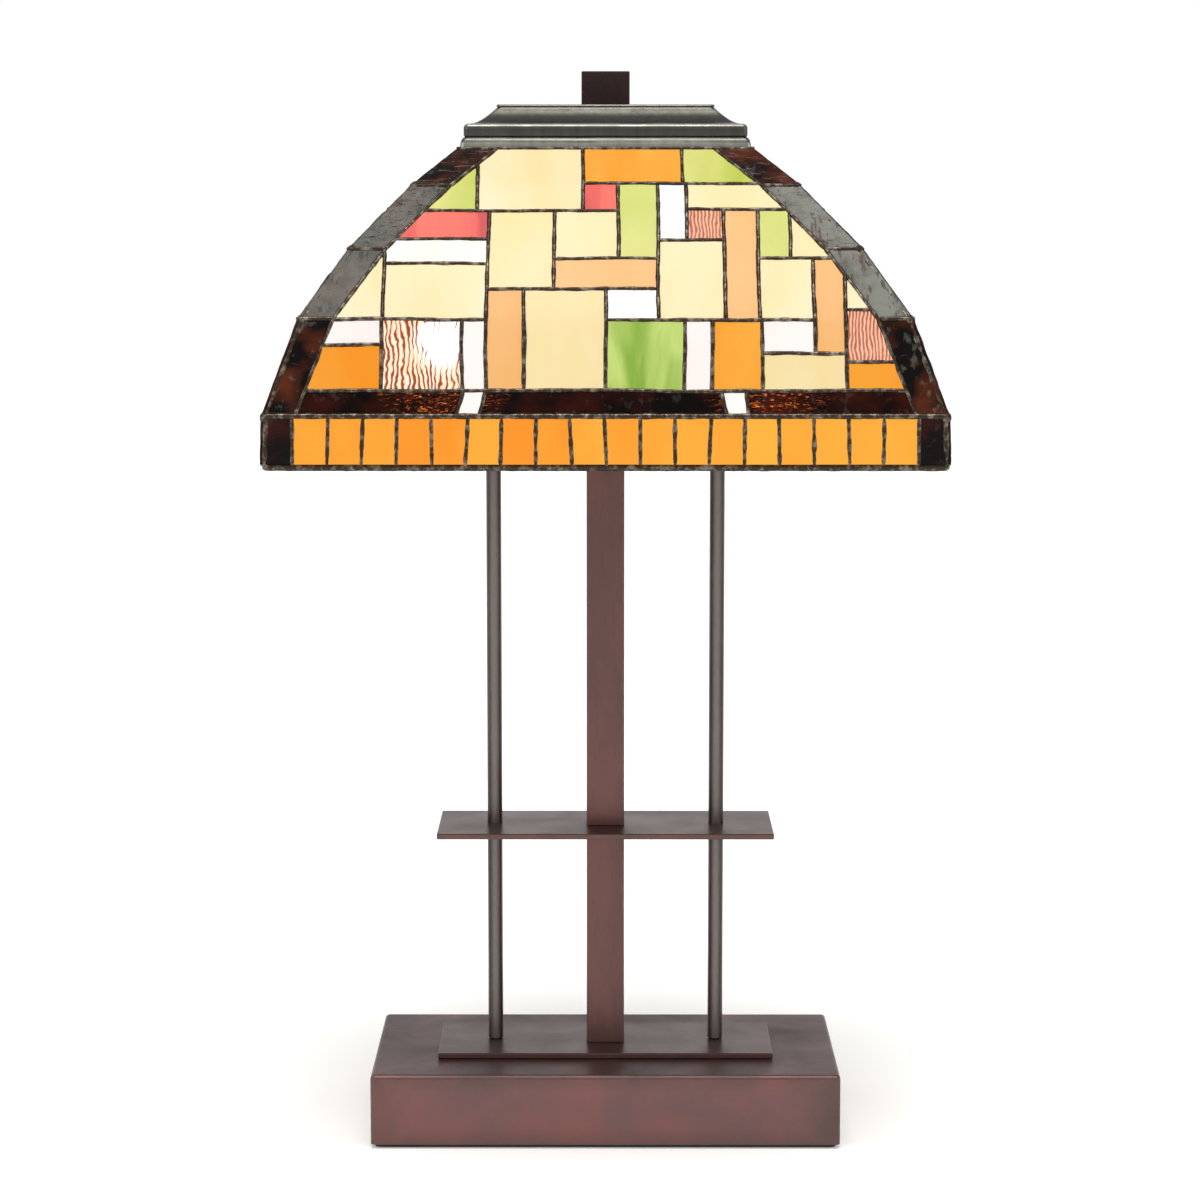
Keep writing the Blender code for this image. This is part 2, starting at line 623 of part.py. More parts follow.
def shade_cap(shade):
    """Pressed square cap: flat top, hollow cove, rounded band and a lip that sits on the glass."""
    foot = SHADE_LEVELS[-1][1] + GAP
    cove_start, cove_end = Vector((0.0572, 0.5392)), Vector((0.0700, 0.5303))
    along = cove_end - cove_start
    hollow = Vector((along.y, -along.x)).normalized() * 0.0012
    profile = [(0.0, CAP_TOP), (0.0545, CAP_TOP), (0.0552, CAP_TOP - 0.0007), (0.0552, 0.5394)]
    for i in range(7):
        point = cove_start + along * (i / 6) + hollow * math.sin(math.pi * i / 6)
        profile.append((point.x, point.y))
    profile += [(0.0709, 0.5293), (0.0712, 0.5270), (0.0710, 0.5247), (0.0704, 0.5238),
                (0.0716, 0.5230), (0.0727, 0.5224), (0.0731, foot)]
    profile += [(0.0717, foot), (0.0686, 0.5285), (0.0550, 0.5373), (0.0538, CAP_TOP - CAP_SHEET),
                (0.0, CAP_TOP - CAP_SHEET)]
    obj = square_turned("shade_cap", profile, "cap_pewter", shade)
    cut(obj, drill("cap_hole", RISER_THREAD + 2 * GAP, CAP_TOP - 0.005, CAP_TOP + 0.005))


def shade_spider(shade):
    """Cross that is soldered into the top of the glass and rests on the seat washer."""
    low, thick = SEAT_Z + NUT_HEIGHT + WASHER + 2 * GAP, 0.0020
    arm, width = 0.0692, 0.0120
    obj = block("shade_spider", (2 * arm, width, thick), "zinc", low, parent=shade)
    cross = as_cutter(block("spider_cross_arm", (width, 2 * arm, thick), "zinc", low))
    hub = drill("spider_hub", 0.0140, low, low + thick)
    for piece in (cross, hub):
        join = obj.modifiers.new("join_" + piece.name, "BOOLEAN")
        join.operation = "UNION"
        join.object = piece
    cut(obj, drill("spider_hole", RISER_THREAD + 2 * GAP, low - 0.002, low + thick + 0.002))


def seat_washer(seat):
    low = SEAT_Z + NUT_HEIGHT + GAP
    tube("seat_washer", 0.0120, RISER_THREAD + 2 * GAP, low, low + WASHER, "brass", parent=seat)


def finial(axis):
    """Square block that screws onto the riser and clamps the cap."""
    bottom = CAP_TOP + GAP
    obj = block("finial", (FINIAL_SIDE, FINIAL_SIDE, TOTAL_HEIGHT - bottom), "finial_bronze",
                bottom, edge=0.0006, parent=axis)
    cut(obj, drill("finial_bore", RISER_THREAD + GAP, bottom - 0.002, 0.5525))


# ---------------------------------------------------------------- assembly
base_casing()
base_ballast()
bottom_cover()
felt_pad()
cover_screws()
cord_gland()
base_fasteners()

flat_plate("plinth_plate", PLATE_WIDTH, PLATE_DEPTH, PLINTH_TOP, STUD_RADIUS + GAP)
flat_plate("mid_plate", PLATE_WIDTH, PLATE_DEPTH, MID_PLATE_TOP, ROD_RADIUS + GAP)
flat_plate("top_plate", TOP_PLATE_WIDTH, TOP_PLATE_DEPTH, TOP_PLATE_TOP, STUD_RADIUS + GAP)
column("lower_column", PLINTH_TOP + GAP, MID_PLATE_TOP - PLATE_THICKNESS - GAP)
column("upper_column", MID_PLATE_TOP + GAP, TOP_PLATE_TOP - PLATE_THICKNESS - GAP)
support_rods()
rod_cap_nuts()
centre_pipe()

cluster_body()
for side_name, way in (("left", -1), ("right", 1)):
    socket_axis = socket_set(side_name, way)
    turn_knob(side_name, way)
    bulb(side_name, socket_axis)
inner_leads()
riser()

seat_axis = pivot("shade_seat_axis", (0.0, 0.0, 0.0))
seat_washer(seat_axis)
shade_axis = pivot("shade_axis", (0.0, 0.0, 0.0))
glass_panels(shade_axis)
corner_strips(shade_axis)
rim_channel(shade_axis)
shade_cap(shade_axis)
shade_spider(shade_axis)
finial_axis = pivot("finial_axis", (0.0, 0.0, 0.0))
finial(finial_axis)
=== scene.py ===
"""Looks of a stained glass table lamp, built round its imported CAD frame.

Metres, +Z up.  The front faces -Y.  The shade is made pane by pane and seam by seam.
"""
import math

import bmesh
import bpy
from mathutils import Matrix, Vector, noise


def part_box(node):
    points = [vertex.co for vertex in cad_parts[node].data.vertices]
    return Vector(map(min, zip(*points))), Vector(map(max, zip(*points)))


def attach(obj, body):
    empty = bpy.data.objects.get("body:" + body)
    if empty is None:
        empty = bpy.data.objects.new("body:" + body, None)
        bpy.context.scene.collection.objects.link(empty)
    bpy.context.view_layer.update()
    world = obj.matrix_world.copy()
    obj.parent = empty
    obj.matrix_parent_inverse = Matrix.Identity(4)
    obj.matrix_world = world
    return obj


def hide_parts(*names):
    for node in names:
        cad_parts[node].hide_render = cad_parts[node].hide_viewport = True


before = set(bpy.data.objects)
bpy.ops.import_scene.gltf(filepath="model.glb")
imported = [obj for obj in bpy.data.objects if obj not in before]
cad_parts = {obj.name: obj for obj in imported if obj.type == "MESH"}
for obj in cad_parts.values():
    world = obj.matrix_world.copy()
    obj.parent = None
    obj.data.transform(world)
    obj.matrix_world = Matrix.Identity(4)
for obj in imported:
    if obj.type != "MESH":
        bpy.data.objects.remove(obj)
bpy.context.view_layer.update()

MM = 0.001
FACES = ["front", "right", "back", "left"]

GLASS = 0.0026             # thickness of a pane
INSET = 0.0006             # from a seam's centre to the pane's edge
SEAM_WIDTH = 0.00116       # half width of a solder bead between panes
HEAD_SEAM = 0.0010         # the same under the cap
STRIP_SEAM = 0.0012        # the same beside a corner strip
SKIRT_SEAM = 0.0014        # the same between tiles
LEDGE_SEAM = 0.0015        # the same where the mosaic meets the skirt
SEAM_HEIGHT = GLASS / 2 + 0.0009    # half height of a bead that spans the glass
FLUSH_HEIGHT = GLASS / 2 + 0.0004   # half height of a bead between tiles
ARRIS_WIDTH, ARRIS_HEIGHT = 0.0024, 0.0020    # half size of the bead along a corner
ARRIS_DEPTH = 0.0027       # its middle, in from the corner
BLACK = (0.0, 0.0, 0.0)


# ==== materials
class Paint:
    """A Principled material whose node tree is built with short calls."""

    def __init__(self, name):
        self.material = bpy.data.materials.new(name)
        self.material.use_nodes = True
        self.tree = self.material.node_tree
        self.shader = self.tree.nodes["Principled BSDF"]

    def plug(self, socket, value):
        if isinstance(value, bpy.types.NodeSocket):
            self.tree.links.new(value, socket)
        elif isinstance(value, (tuple, list)) and len(value) == 3 and socket.type == "RGBA":
            socket.default_value = (*value, 1.0)
        else:
            socket.default_value = value

    def node(self, kind, inputs=(), output=0, **settings):
        made = self.tree.nodes.new(kind)
        for key, value in settings.items():
            setattr(made, key, value)
        for key, value in dict(inputs).items():
            self.plug(made.inputs[key], value)
        return made.outputs[output]

    def place(self, stretch=(1.0, 1.0, 1.0), source=None):
        """The piece's own coordinates in metres, stretched."""
        if source is None:
            source = self.node("ShaderNodeTexCoord", output="Object")
        return self.node("ShaderNodeMapping", {"Vector": source, "Scale": stretch})

    def attribute(self, name, output="Fac"):
        return self.node("ShaderNodeAttribute", output=output, attribute_name=name)

    def noise(self, where, scale, detail=3.0, roughness=0.55, distortion=0.0):
        return self.node("ShaderNodeTexNoise", {"Vector": where, "Scale": scale, "Detail": detail,
                                                "Roughness": roughness, "Distortion": distortion})

    def grain(self, flow, stretch, detail=2.0, roughness=0.55, distortion=0.0):
        """Noise along the glass, at its own scale each way."""
        return self.noise(self.place(stretch, flow), 1.0, detail, roughness, distortion)

    def ramp(self, value, low, high, start=0.0, end=1.0, **settings):
        inputs = {"Value": value, "From Min": low, "From Max": high, "To Min": start, "To Max": end}
        return self.node("ShaderNodeMapRange", inputs, **settings)

    def spread(self, cloud, start, end):
        """Noise spread from start to end."""
        return self.ramp(cloud, 0.3, 0.7, start, end)

    def mix(self, factor, first, second, blend="MIX"):
        made = self.tree.nodes.new("ShaderNodeMix")
        made.data_type = "RGBA"
        made.blend_type = blend
        self.plug(made.inputs["Factor"], factor)
        self.plug(made.inputs["A"], first)
        self.plug(made.inputs["B"], second)
        return made.outputs["Result"]

    def maths(self, operation, first, second=0.0):
        return self.node("ShaderNodeMath", {0: first, 1: second}, operation=operation)

    def sum(self, first, second):
        return self.maths("ADD", first, second)

    def times(self, first, second):
        return self.maths("MULTIPLY", first, second)

    def clamp(self, value):
        return self.node("ShaderNodeClamp", {"Value": value})

    def along(self, vector, axis):
        return self.node("ShaderNodeSeparateXYZ", {"Vector": vector}, axis)

    def bump(self, height, strength, distance):
        normal = self.node("ShaderNodeBump", {"Height": height, "Strength": strength,
                                              "Distance": distance})
        self.plug(self.shader.inputs["Normal"], normal)

    def set(self, **values):
        for key, value in values.items():
            self.plug(self.shader.inputs[key.replace("_", " ")], value)
        return self.material


def opal_glass(name, deep, pale, mottle=16.0, contrast=1.0, streak=(1.0, 0.35, 1.0)):
    """Opalescent glass lit from behind: soft streaks between a deep and a pale colour."""
    paint = Paint(name)
    where = paint.place(streak, paint.attribute("flow", "Vector"))
    cloud = paint.noise(where, mottle, 3.0, 0.5, 0.6)
    fine = paint.noise(where, mottle * 7.0)
    half_span = 0.22 / contrast
    tone = paint.ramp(cloud, 0.5 - half_span, 0.5 + half_span)
    tone = paint.sum(tone, paint.attribute("tone"))
    tone = paint.sum(tone, paint.spread(fine, -0.07, 0.07))
    colour = paint.mix(paint.clamp(tone), deep, pale)
    lit = paint.mix(1.0, colour, paint.attribute("glow", "Color"), "MULTIPLY")
    paint.bump(paint.noise(where, 60.0, 2.0), 0.25, 0.0006)
    return paint.set(Base_Color=paint.mix(0.85, colour, BLACK), Specular_IOR_Level=0.15,
                     Roughness=paint.spread(fine, 0.16, 0.30),
                     Emission_Color=lit, Emission_Strength=1.0)


def ripple_glass(name, vein, body, bright, spacing, wander, broken, lit_up):
    """Rippled art glass: wavy lines up the pane, dark in the folds.

    spacing is from line to line, wander bends the lines and broken cuts them short.  lit_up is 1
    for glass so clear that a bulb behind it washes the lines out, and 0 for other glass.
    """
    paint = Paint(name)
    flow = paint.attribute("flow", "Vector")
    drift = paint.grain(flow, (60.0, 42.0, 60.0), 3.0, 0.6)
    kink = paint.grain(flow, (210.0, 150.0, 60.0))
    phase = paint.times(paint.along(flow, "X"), math.tau / spacing)
    phase = paint.sum(phase, paint.times(drift, wander))
    phase = paint.sum(phase, paint.times(kink, wander * 0.15))
    wave = paint.maths("SINE", phase)
    breaks = paint.grain(flow, (190.0, 70.0 * broken, 60.0))
    calm = paint.times(paint.ramp(paint.attribute("spark"), 0.58, 1.0), lit_up)
    limit = paint.sum(paint.ramp(breaks, 0.35, 0.65, 0.60, -0.35), paint.times(calm, 1.15))
    depth = paint.clamp(paint.times(paint.maths("SUBTRACT", wave, limit), 2.4))
    crest = paint.ramp(wave, -1.0, -0.2, 1.0, 0.0)
    shine = paint.maths("MAXIMUM", paint.times(calm, 1.5), paint.times(crest, 0.6))
    colour = paint.mix(depth, paint.mix(shine, body, bright), vein)
    paint.bump(wave, 0.5, 0.0007)
    return paint.set(Base_Color=paint.mix(0.80, colour, BLACK), Roughness=0.08,
                     Specular_IOR_Level=0.3, Emission_Color=colour, Emission_Strength=1.0)


def dark_glass(name, gloss, warmth, sheen_colour):
    """Nearly black rippled glass with sparks of the bulbs, a painted grey-green reflection turned
    on by tone, and painted grey glints on its dents.
    """
    paint = Paint(name)
    flow = paint.attribute("flow", "Vector")
    tone = paint.attribute("tone")
    waves = paint.grain(flow, (150.0, 260.0, 150.0), 3.0, 0.55, 0.6)
    fine = paint.grain(flow, (260.0, 900.0, 260.0), 3.0, 0.6, 1.2)
    tint = paint.grain(flow, (45.0, 60.0, 45.0))
    colour = paint.mix(paint.ramp(tint, 0.42, 0.72), (0.0016, 0.0008, 0.0006), warmth)

    near = paint.clamp(paint.ramp(paint.attribute("spark"), 0.05, 0.24))
    ember = paint.times(paint.clamp(paint.ramp(fine, 0.46, 0.62)), near)
    spark = paint.times(paint.clamp(paint.ramp(fine, 0.585, 0.66)), near)
    light = paint.mix(ember, colour, (0.11, 0.014, 0.003))
    light = paint.mix(spark, light, (1.0, 0.24, 0.03))
    # no sparks or glow where the painted sheen is on
    light = paint.mix(paint.times(tone, 2.5), light, BLACK)

    # painted reflection of the overhead light: a grey-green sheen in clouds, broken by dark dashes,
    # with painted glints on the dents; tone moves it from the glints alone to the full sheen
    sheen_cloud = paint.grain(flow, (95.0, 70.0, 95.0), 4.0, 0.6, 0.5)
    dashes = paint.grain(flow, (330.0, 95.0, 330.0))
    sheen = paint.times(paint.ramp(sheen_cloud, 0.34, 0.62, 0.40, 1.15),
                        paint.ramp(dashes, 0.60, 0.66, 1.0, 0.12))
    painted_glints = paint.ramp(paint.grain(flow, (210.0, 160.0, 210.0)), 0.60, 0.70, 0.0, 0.35)
    painted_sheen = paint.mix(tone, painted_glints, sheen)
    paint.bump(waves, 0.4, 0.0009)
    rough = paint.ramp(paint.grain(flow, (60.0, 60.0, 60.0), 3.0), 0.35, 0.65, 0.05, 0.20)
    return paint.set(Base_Color=paint.mix(painted_sheen, colour, sheen_colour), Roughness=rough,
                     Specular_IOR_Level=gloss, Emission_Color=light, Emission_Strength=1.0)


# ---- metals, plastics and bulbs
def solder(name):
    """Patinated solder: dark with worn, brighter patches."""
    paint = Paint(name)
    where = paint.place()
    patch = paint.noise(where, 260.0, 4.0, 0.6)
    fine = paint.noise(where, 1500.0, 2.0)
    patch_blend = paint.ramp(patch, 0.48, 0.72)
    paint.bump(paint.sum(patch, paint.times(fine, 0.3)), 0.5, 0.0006)
    return paint.set(Base_Color=paint.mix(patch_blend, (0.036, 0.025, 0.017), (0.23, 0.20, 0.155)),
                     Metallic=0.85, Roughness=paint.spread(fine, 0.24, 0.42))


def edge_darkening(paint, where, box):
    """How near a point of a casing is to its ends and to its upper and lower edges."""
    low, high = box
    middle, half = (low.z + high.z) / 2, (high.z - low.z) / 2
    across = paint.maths("ABSOLUTE", paint.along(where, "X"))
    rise = paint.maths("ABSOLUTE", paint.maths("SUBTRACT", paint.along(where, "Z"), middle))
    ends = paint.ramp(across, high.x - 0.022, high.x, 0.0, 0.75)
    edges = paint.ramp(rise, half - 0.009, half, 0.0, 0.62)
    return paint.maths("MAXIMUM", ends, edges)


def bronze(name, colour, second, rough, scale, stretch=(1.0, 1.0, 1.0), box=None):
    """Brown patina on steel: cloudy colour, fine speckle and uneven gloss.

    With a box, the colour gets darker towards the box's ends and its upper and lower edges.
    """
    paint = Paint(name)
    where = paint.place(stretch)
    cloud = paint.noise(where, scale, 5.0, 0.62, 0.3)
    speck = paint.noise(where, scale * 22.0, 3.0, 0.6)
    shade = paint.sum(paint.ramp(cloud, 0.34, 0.66), paint.spread(speck, -0.18, 0.18))
    paint.bump(speck, 0.12, 0.0004)
    colour = paint.mix(paint.clamp(shade), colour, second)
    if box:
        # darker towards the casing's ends and its upper and lower edges, in patches
        patch_blend = paint.times(edge_darkening(paint, paint.place(), box), paint.spread(cloud, 0.55, 1.1))
        colour = paint.mix(patch_blend, colour, (0.082, 0.058, 0.052))
    return paint.set(Base_Color=colour, Metallic=0.8,
                     Roughness=paint.spread(cloud, *rough))


CAP_DEPTH_MM = 22.0
CAP_LIGHT_BANDS = [              # millimetres below the top of the cap, and the painted brightness there: bands of painted highlight and reflection with painted shade between them
    (0.0, 0.17), (0.6, 0.17), (1.2, 0.06), (1.8, 0.10), (3.0, 0.27), (4.0, 0.27), (5.0, 0.15),
    (5.8, 0.09), (8.6, 0.05), (9.4, 0.07), (10.1, 0.46), (10.8, 0.24), (11.4, 0.09), (12.7, 0.052),
    (15.6, 0.06), (16.6, 0.05), (17.2, 0.11), (17.7, 0.16), (18.2, 0.11), (18.7, 0.16),
    (19.5, 0.35), (20.6, 0.24),
]


def pewter(name, top):
    """Dark pewter of the cap, with bands of painted highlight and reflection by height and painted
    shade between them.
    """
    paint = Paint(name)
    where = paint.place()
    brushed = paint.noise(paint.place((260.0, 260.0, 30.0)), 1.0, 3.0, 0.6)
    cloud = paint.noise(where, 45.0, 4.0)
    drop = paint.maths("SUBTRACT", top, paint.along(where, "Z"))
    drop = paint.times(drop, 1000.0 / CAP_DEPTH_MM)
    drop = paint.sum(drop, paint.spread(cloud, -0.012, 0.012))
    # bands of painted highlight and shade, by depth below the top of the cap
    light_bands = paint.tree.nodes.new("ShaderNodeValToRGB")
    paint.plug(light_bands.inputs[0], drop)
    stops = light_bands.color_ramp.elements
    while len(stops) < len(CAP_LIGHT_BANDS):
        stops.new(0.5)
    for stop, (depth_mm, _) in zip(stops, CAP_LIGHT_BANDS):
        stop.position = depth_mm / CAP_DEPTH_MM
    for stop, (_, grey) in zip(stops, CAP_LIGHT_BANDS):
        stop.color = (grey, grey * 0.975, grey * 0.86, 1.0)
    streak = paint.spread(brushed, 0.80, 1.12)
    streaks = paint.node("ShaderNodeCombineXYZ", {0: streak, 1: streak, 2: streak})
    paint.bump(brushed, 0.15, 0.0003)
    return paint.set(Base_Color=paint.mix(1.0, light_bands.outputs["Color"], streaks, "MULTIPLY"),
                     Metallic=0.85, Roughness=paint.spread(cloud, 0.26, 0.40))


def plain_metal(name, colour, rough):
    """Plated or brushed metal with faint specks and handling marks."""
    paint = Paint(name)
    where = paint.place()
    cloud = paint.noise(where, 70.0, 4.0)
    dull = tuple(c * 0.75 for c in colour)
    paint.bump(paint.noise(where, 900.0, 2.0), 0.10, 0.0002)
    return paint.set(Base_Color=paint.mix(paint.ramp(cloud, 0.35, 0.65), colour, dull),
                     Metallic=1.0, Roughness=paint.spread(cloud, rough * 0.8, rough * 1.3))


def moulded(name, colour, rough, scale=1200.0, strength=0.15):
    """Plastic, felt, enamel or cast iron: fine grain over a slightly uneven colour."""
    paint = Paint(name)
    where = paint.place()
    fine = paint.noise(where, scale, 3.0, 0.7)
    cloud = paint.noise(where, 60.0)
    pale = tuple(min(1.0, c * 1.5 + 0.004) for c in colour)
    paint.bump(fine, strength, 0.0004)
    return paint.set(Base_Color=paint.mix(paint.spread(cloud, 0.0, 1.0), colour, pale),
                     Roughness=paint.spread(fine, rough * 0.85, min(1.0, rough * 1.15)))


def frosted_bulb(name, neck, middle):
    """Frosted glass of a lit bulb, dimmer from its middle towards its neck."""
    paint = Paint(name)
    where = paint.place()
    cloud = paint.noise(where, 40.0, 2.0)
    reach = paint.maths("ABSOLUTE", paint.along(where, "X"))
    reach = paint.sum(reach, paint.spread(cloud, -0.002, 0.002))
    lit = paint.ramp(reach, neck, middle, interpolation_type="SMOOTHSTEP")
    paint.bump(paint.noise(where, 1500.0, 2.0), 0.05, 0.0002)
    return paint.set(Base_Color=(0.26, 0.25, 0.22), Roughness=0.35, Emission_Strength=1.0,
                     Emission_Color=paint.mix(lit, (0.42, 0.30, 0.17), (0.82, 0.70, 0.49)))


def streaked_rod(name):
    """Bronze rod with painted highlight streaks along four lines, where its tone is 1."""
    paint = Paint(name)
    where = paint.place((1.0, 1.0, 0.15))
    cloud = paint.noise(where, 60.0, 5.0, 0.62, 0.3)
    speck = paint.noise(where, 1300.0, 3.0, 0.6)
    # painted highlight streaks down the rod, broken up by the patina's cloud and speck
    line = paint.sum(paint.attribute("tone"), paint.spread(cloud, -0.22, 0.22))
    line = paint.clamp(paint.sum(line, paint.spread(speck, -0.1, 0.1)))
    paint.bump(speck, 0.12, 0.0004)
    return paint.set(Base_Color=paint.mix(line, (0.052, 0.038, 0.036), (0.155, 0.137, 0.131)),
                     Metallic=0.8, Roughness=paint.spread(cloud, 0.26, 0.40))


GLASSES = {
    "cream": opal_glass("glass_cream", (0.80, 0.61, 0.26), (0.83, 0.73, 0.49)),
    "white": opal_glass("glass_white", (0.80, 0.76, 0.68), (0.92, 0.90, 0.87)),
    "blush": opal_glass("glass_blush", (0.84, 0.73, 0.70), (0.90, 0.86, 0.83)),
    "orange": opal_glass("glass_orange", (0.82, 0.27, 0.018), (0.84, 0.39, 0.05)),
    "peach": opal_glass("glass_peach", (0.78, 0.37, 0.09), (0.80, 0.46, 0.20)),
    "green": opal_glass("glass_green", (0.38, 0.49, 0.03), (0.66, 0.63, 0.21), contrast=1.6),
    "moss": opal_glass("glass_moss", (0.17, 0.33, 0.030), (0.50, 0.62, 0.17),
                       mottle=26.0, contrast=1.8, streak=(1.6, 0.4, 1.0)),
    "red": opal_glass("glass_red", (0.50, 0.036, 0.046), (0.86, 0.125, 0.085),
                      mottle=22.0, contrast=2.0, streak=(2.2, 0.3, 1.0)),
    "clear": ripple_glass("glass_clear_ripple", (0.28, 0.055, 0.018), (0.88, 0.52, 0.29),
                          (1.0, 0.97, 0.90), spacing=0.0024, wander=30.0, broken=1.0, lit_up=1.0),
    "copper": ripple_glass("glass_copper_ripple", (0.38, 0.110, 0.058), (0.66, 0.26, 0.155),
                           (0.95, 0.66, 0.48), spacing=0.0017, wander=20.0, broken=3.6, lit_up=0.0),
    # the last colour of a dark glass is the colour of its painted sheen
    "dark": dark_glass("glass_border", 0.10, (0.0150, 0.0020, 0.0008), (0.035, 0.036, 0.030)),
    "corner": dark_glass("glass_corner", 0.17, (0.0480, 0.0100, 0.0030), (0.118, 0.121, 0.102)),
}
TILE_GLASS = opal_glass("glass_tile", (0.86, 0.27, 0.018), (0.88, 0.40, 0.04), contrast=0.8)
SOLDER = solder("solder_patina")


# ==== mesh tools
class Shape:
    """Collects the closed patches of one piece, with what its material reads at each vertex.

    flow is the place in the glass, glow the light behind it, tone a value that each piece uses in
    its own way (a random tint, or how strong a painted sheen or painted highlight is) and spark how
    directly a bulb is behind.
    """

    def __init__(self):
        self.points, self.faces = [], []
        self.flow, self.glow, self.tone, self.spark = [], [], [], []

    def add(self, point, flow=(0.0, 0.0, 0.0), glow=1.0, tone=0.0, spark=0.0):
        self.points.append(point)
        self.flow.append(flow)
        self.glow.append(glow)
        self.tone.append(tone)
        self.spark.append(spark)
        return len(self.points) - 1

    def slab(self, outer, inner):
        """A closed sheet between two grids of vertex numbers."""
        rows, columns = len(outer), len(outer[0])
        for r in range(rows - 1):
            (front, front_up), (back, back_up) = outer[r:r + 2], inner[r:r + 2]
            for c in range(columns - 1):
                self.faces.append((front[c], front[c + 1], front_up[c + 1], front_up[c]))
                self.faces.append((back[c], back_up[c], back_up[c + 1], back[c + 1]))
        for c in range(columns - 1):
            self.faces.append((outer[0][c], inner[0][c], inner[0][c + 1], outer[0][c + 1]))
            self.faces.append((outer[-1][c], outer[-1][c + 1], inner[-1][c + 1], inner[-1][c]))
        for r in range(rows - 1):
            self.faces.append((outer[r][0], outer[r + 1][0], inner[r + 1][0], inner[r][0]))
            self.faces.append((outer[r][-1], inner[r][-1], inner[r + 1][-1], outer[r + 1][-1]))

    def tube(self, rings, closed=False):
        """A closed skin over rings of vertex numbers that run the same way round."""
        count = len(rings[0])
        pairs = list(zip(rings, rings[1:]))
        if closed:
            pairs.append((rings[-1], rings[0]))
        for first, second in pairs:
            for i in range(count):
                j = (i + 1) % count
                self.faces.append((first[i], first[j], second[j], second[i]))
        if not closed:
            self.faces.append(tuple(reversed(rings[0])))
            self.faces.append(tuple(rings[-1]))

    def build(self, name, material, sharp=40.0):
        mesh = bpy.data.meshes.new(name)
        mesh.from_pydata(self.points, [], self.faces)
        layer = mesh.attributes.new("flow", "FLOAT_VECTOR", "POINT")
        layer.data.foreach_set("vector", [x for flow in self.flow for x in flow])
        for key in ("tone", "spark", "glow"):
            layer = mesh.attributes.new(key, "FLOAT", "POINT")
            layer.data.foreach_set("value", getattr(self, key))
        face_outwards(mesh)
        mesh.shade_smooth()
        mesh.set_sharp_from_angle(angle=math.radians(sharp))
        mesh.materials.append(material)
        return link(name, mesh)


def face_outwards(mesh, join=None):
    """Turn the faces of closed patches outwards, after joining points closer than join."""
    bm = bmesh.new()
    bm.from_mesh(mesh)
    if join:
        bmesh.ops.remove_doubles(bm, verts=bm.verts, dist=join)
    bmesh.ops.recalc_face_normals(bm, faces=bm.faces)
    bm.to_mesh(mesh)
    bm.free()


def link(name, data):
    obj = bpy.data.objects.new(name, data)
    bpy.context.scene.collection.objects.link(obj)
    return obj


def place(obj, body, slot, *nodes):
    """Let a piece ride a body and stand for nodes of the frame."""
    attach(obj, body)
    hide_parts(*nodes)


def lay_solder(shape, name, *nodes):
    place(shape.build(name, SOLDER, 60.0), "shade", "lead_came", *nodes)


def quarter_turn(quarter):
    return Matrix.Rotation(quarter * math.pi / 2, 3, "Z")


def around(sides):
    """Angles of so many points round a circle."""
    return [math.tau * k / sides for k in range(sides)]


def headings(points):
    """The way along an open line at each of its points."""
    last = len(points) - 1
    return [(points[min(i + 1, last)] - points[max(i - 1, 0)]).normalized()
            for i in range(last + 1)]


def wobble(*where):
    """Smooth noise between about -1 and 1."""
    return noise.noise(Vector(where))


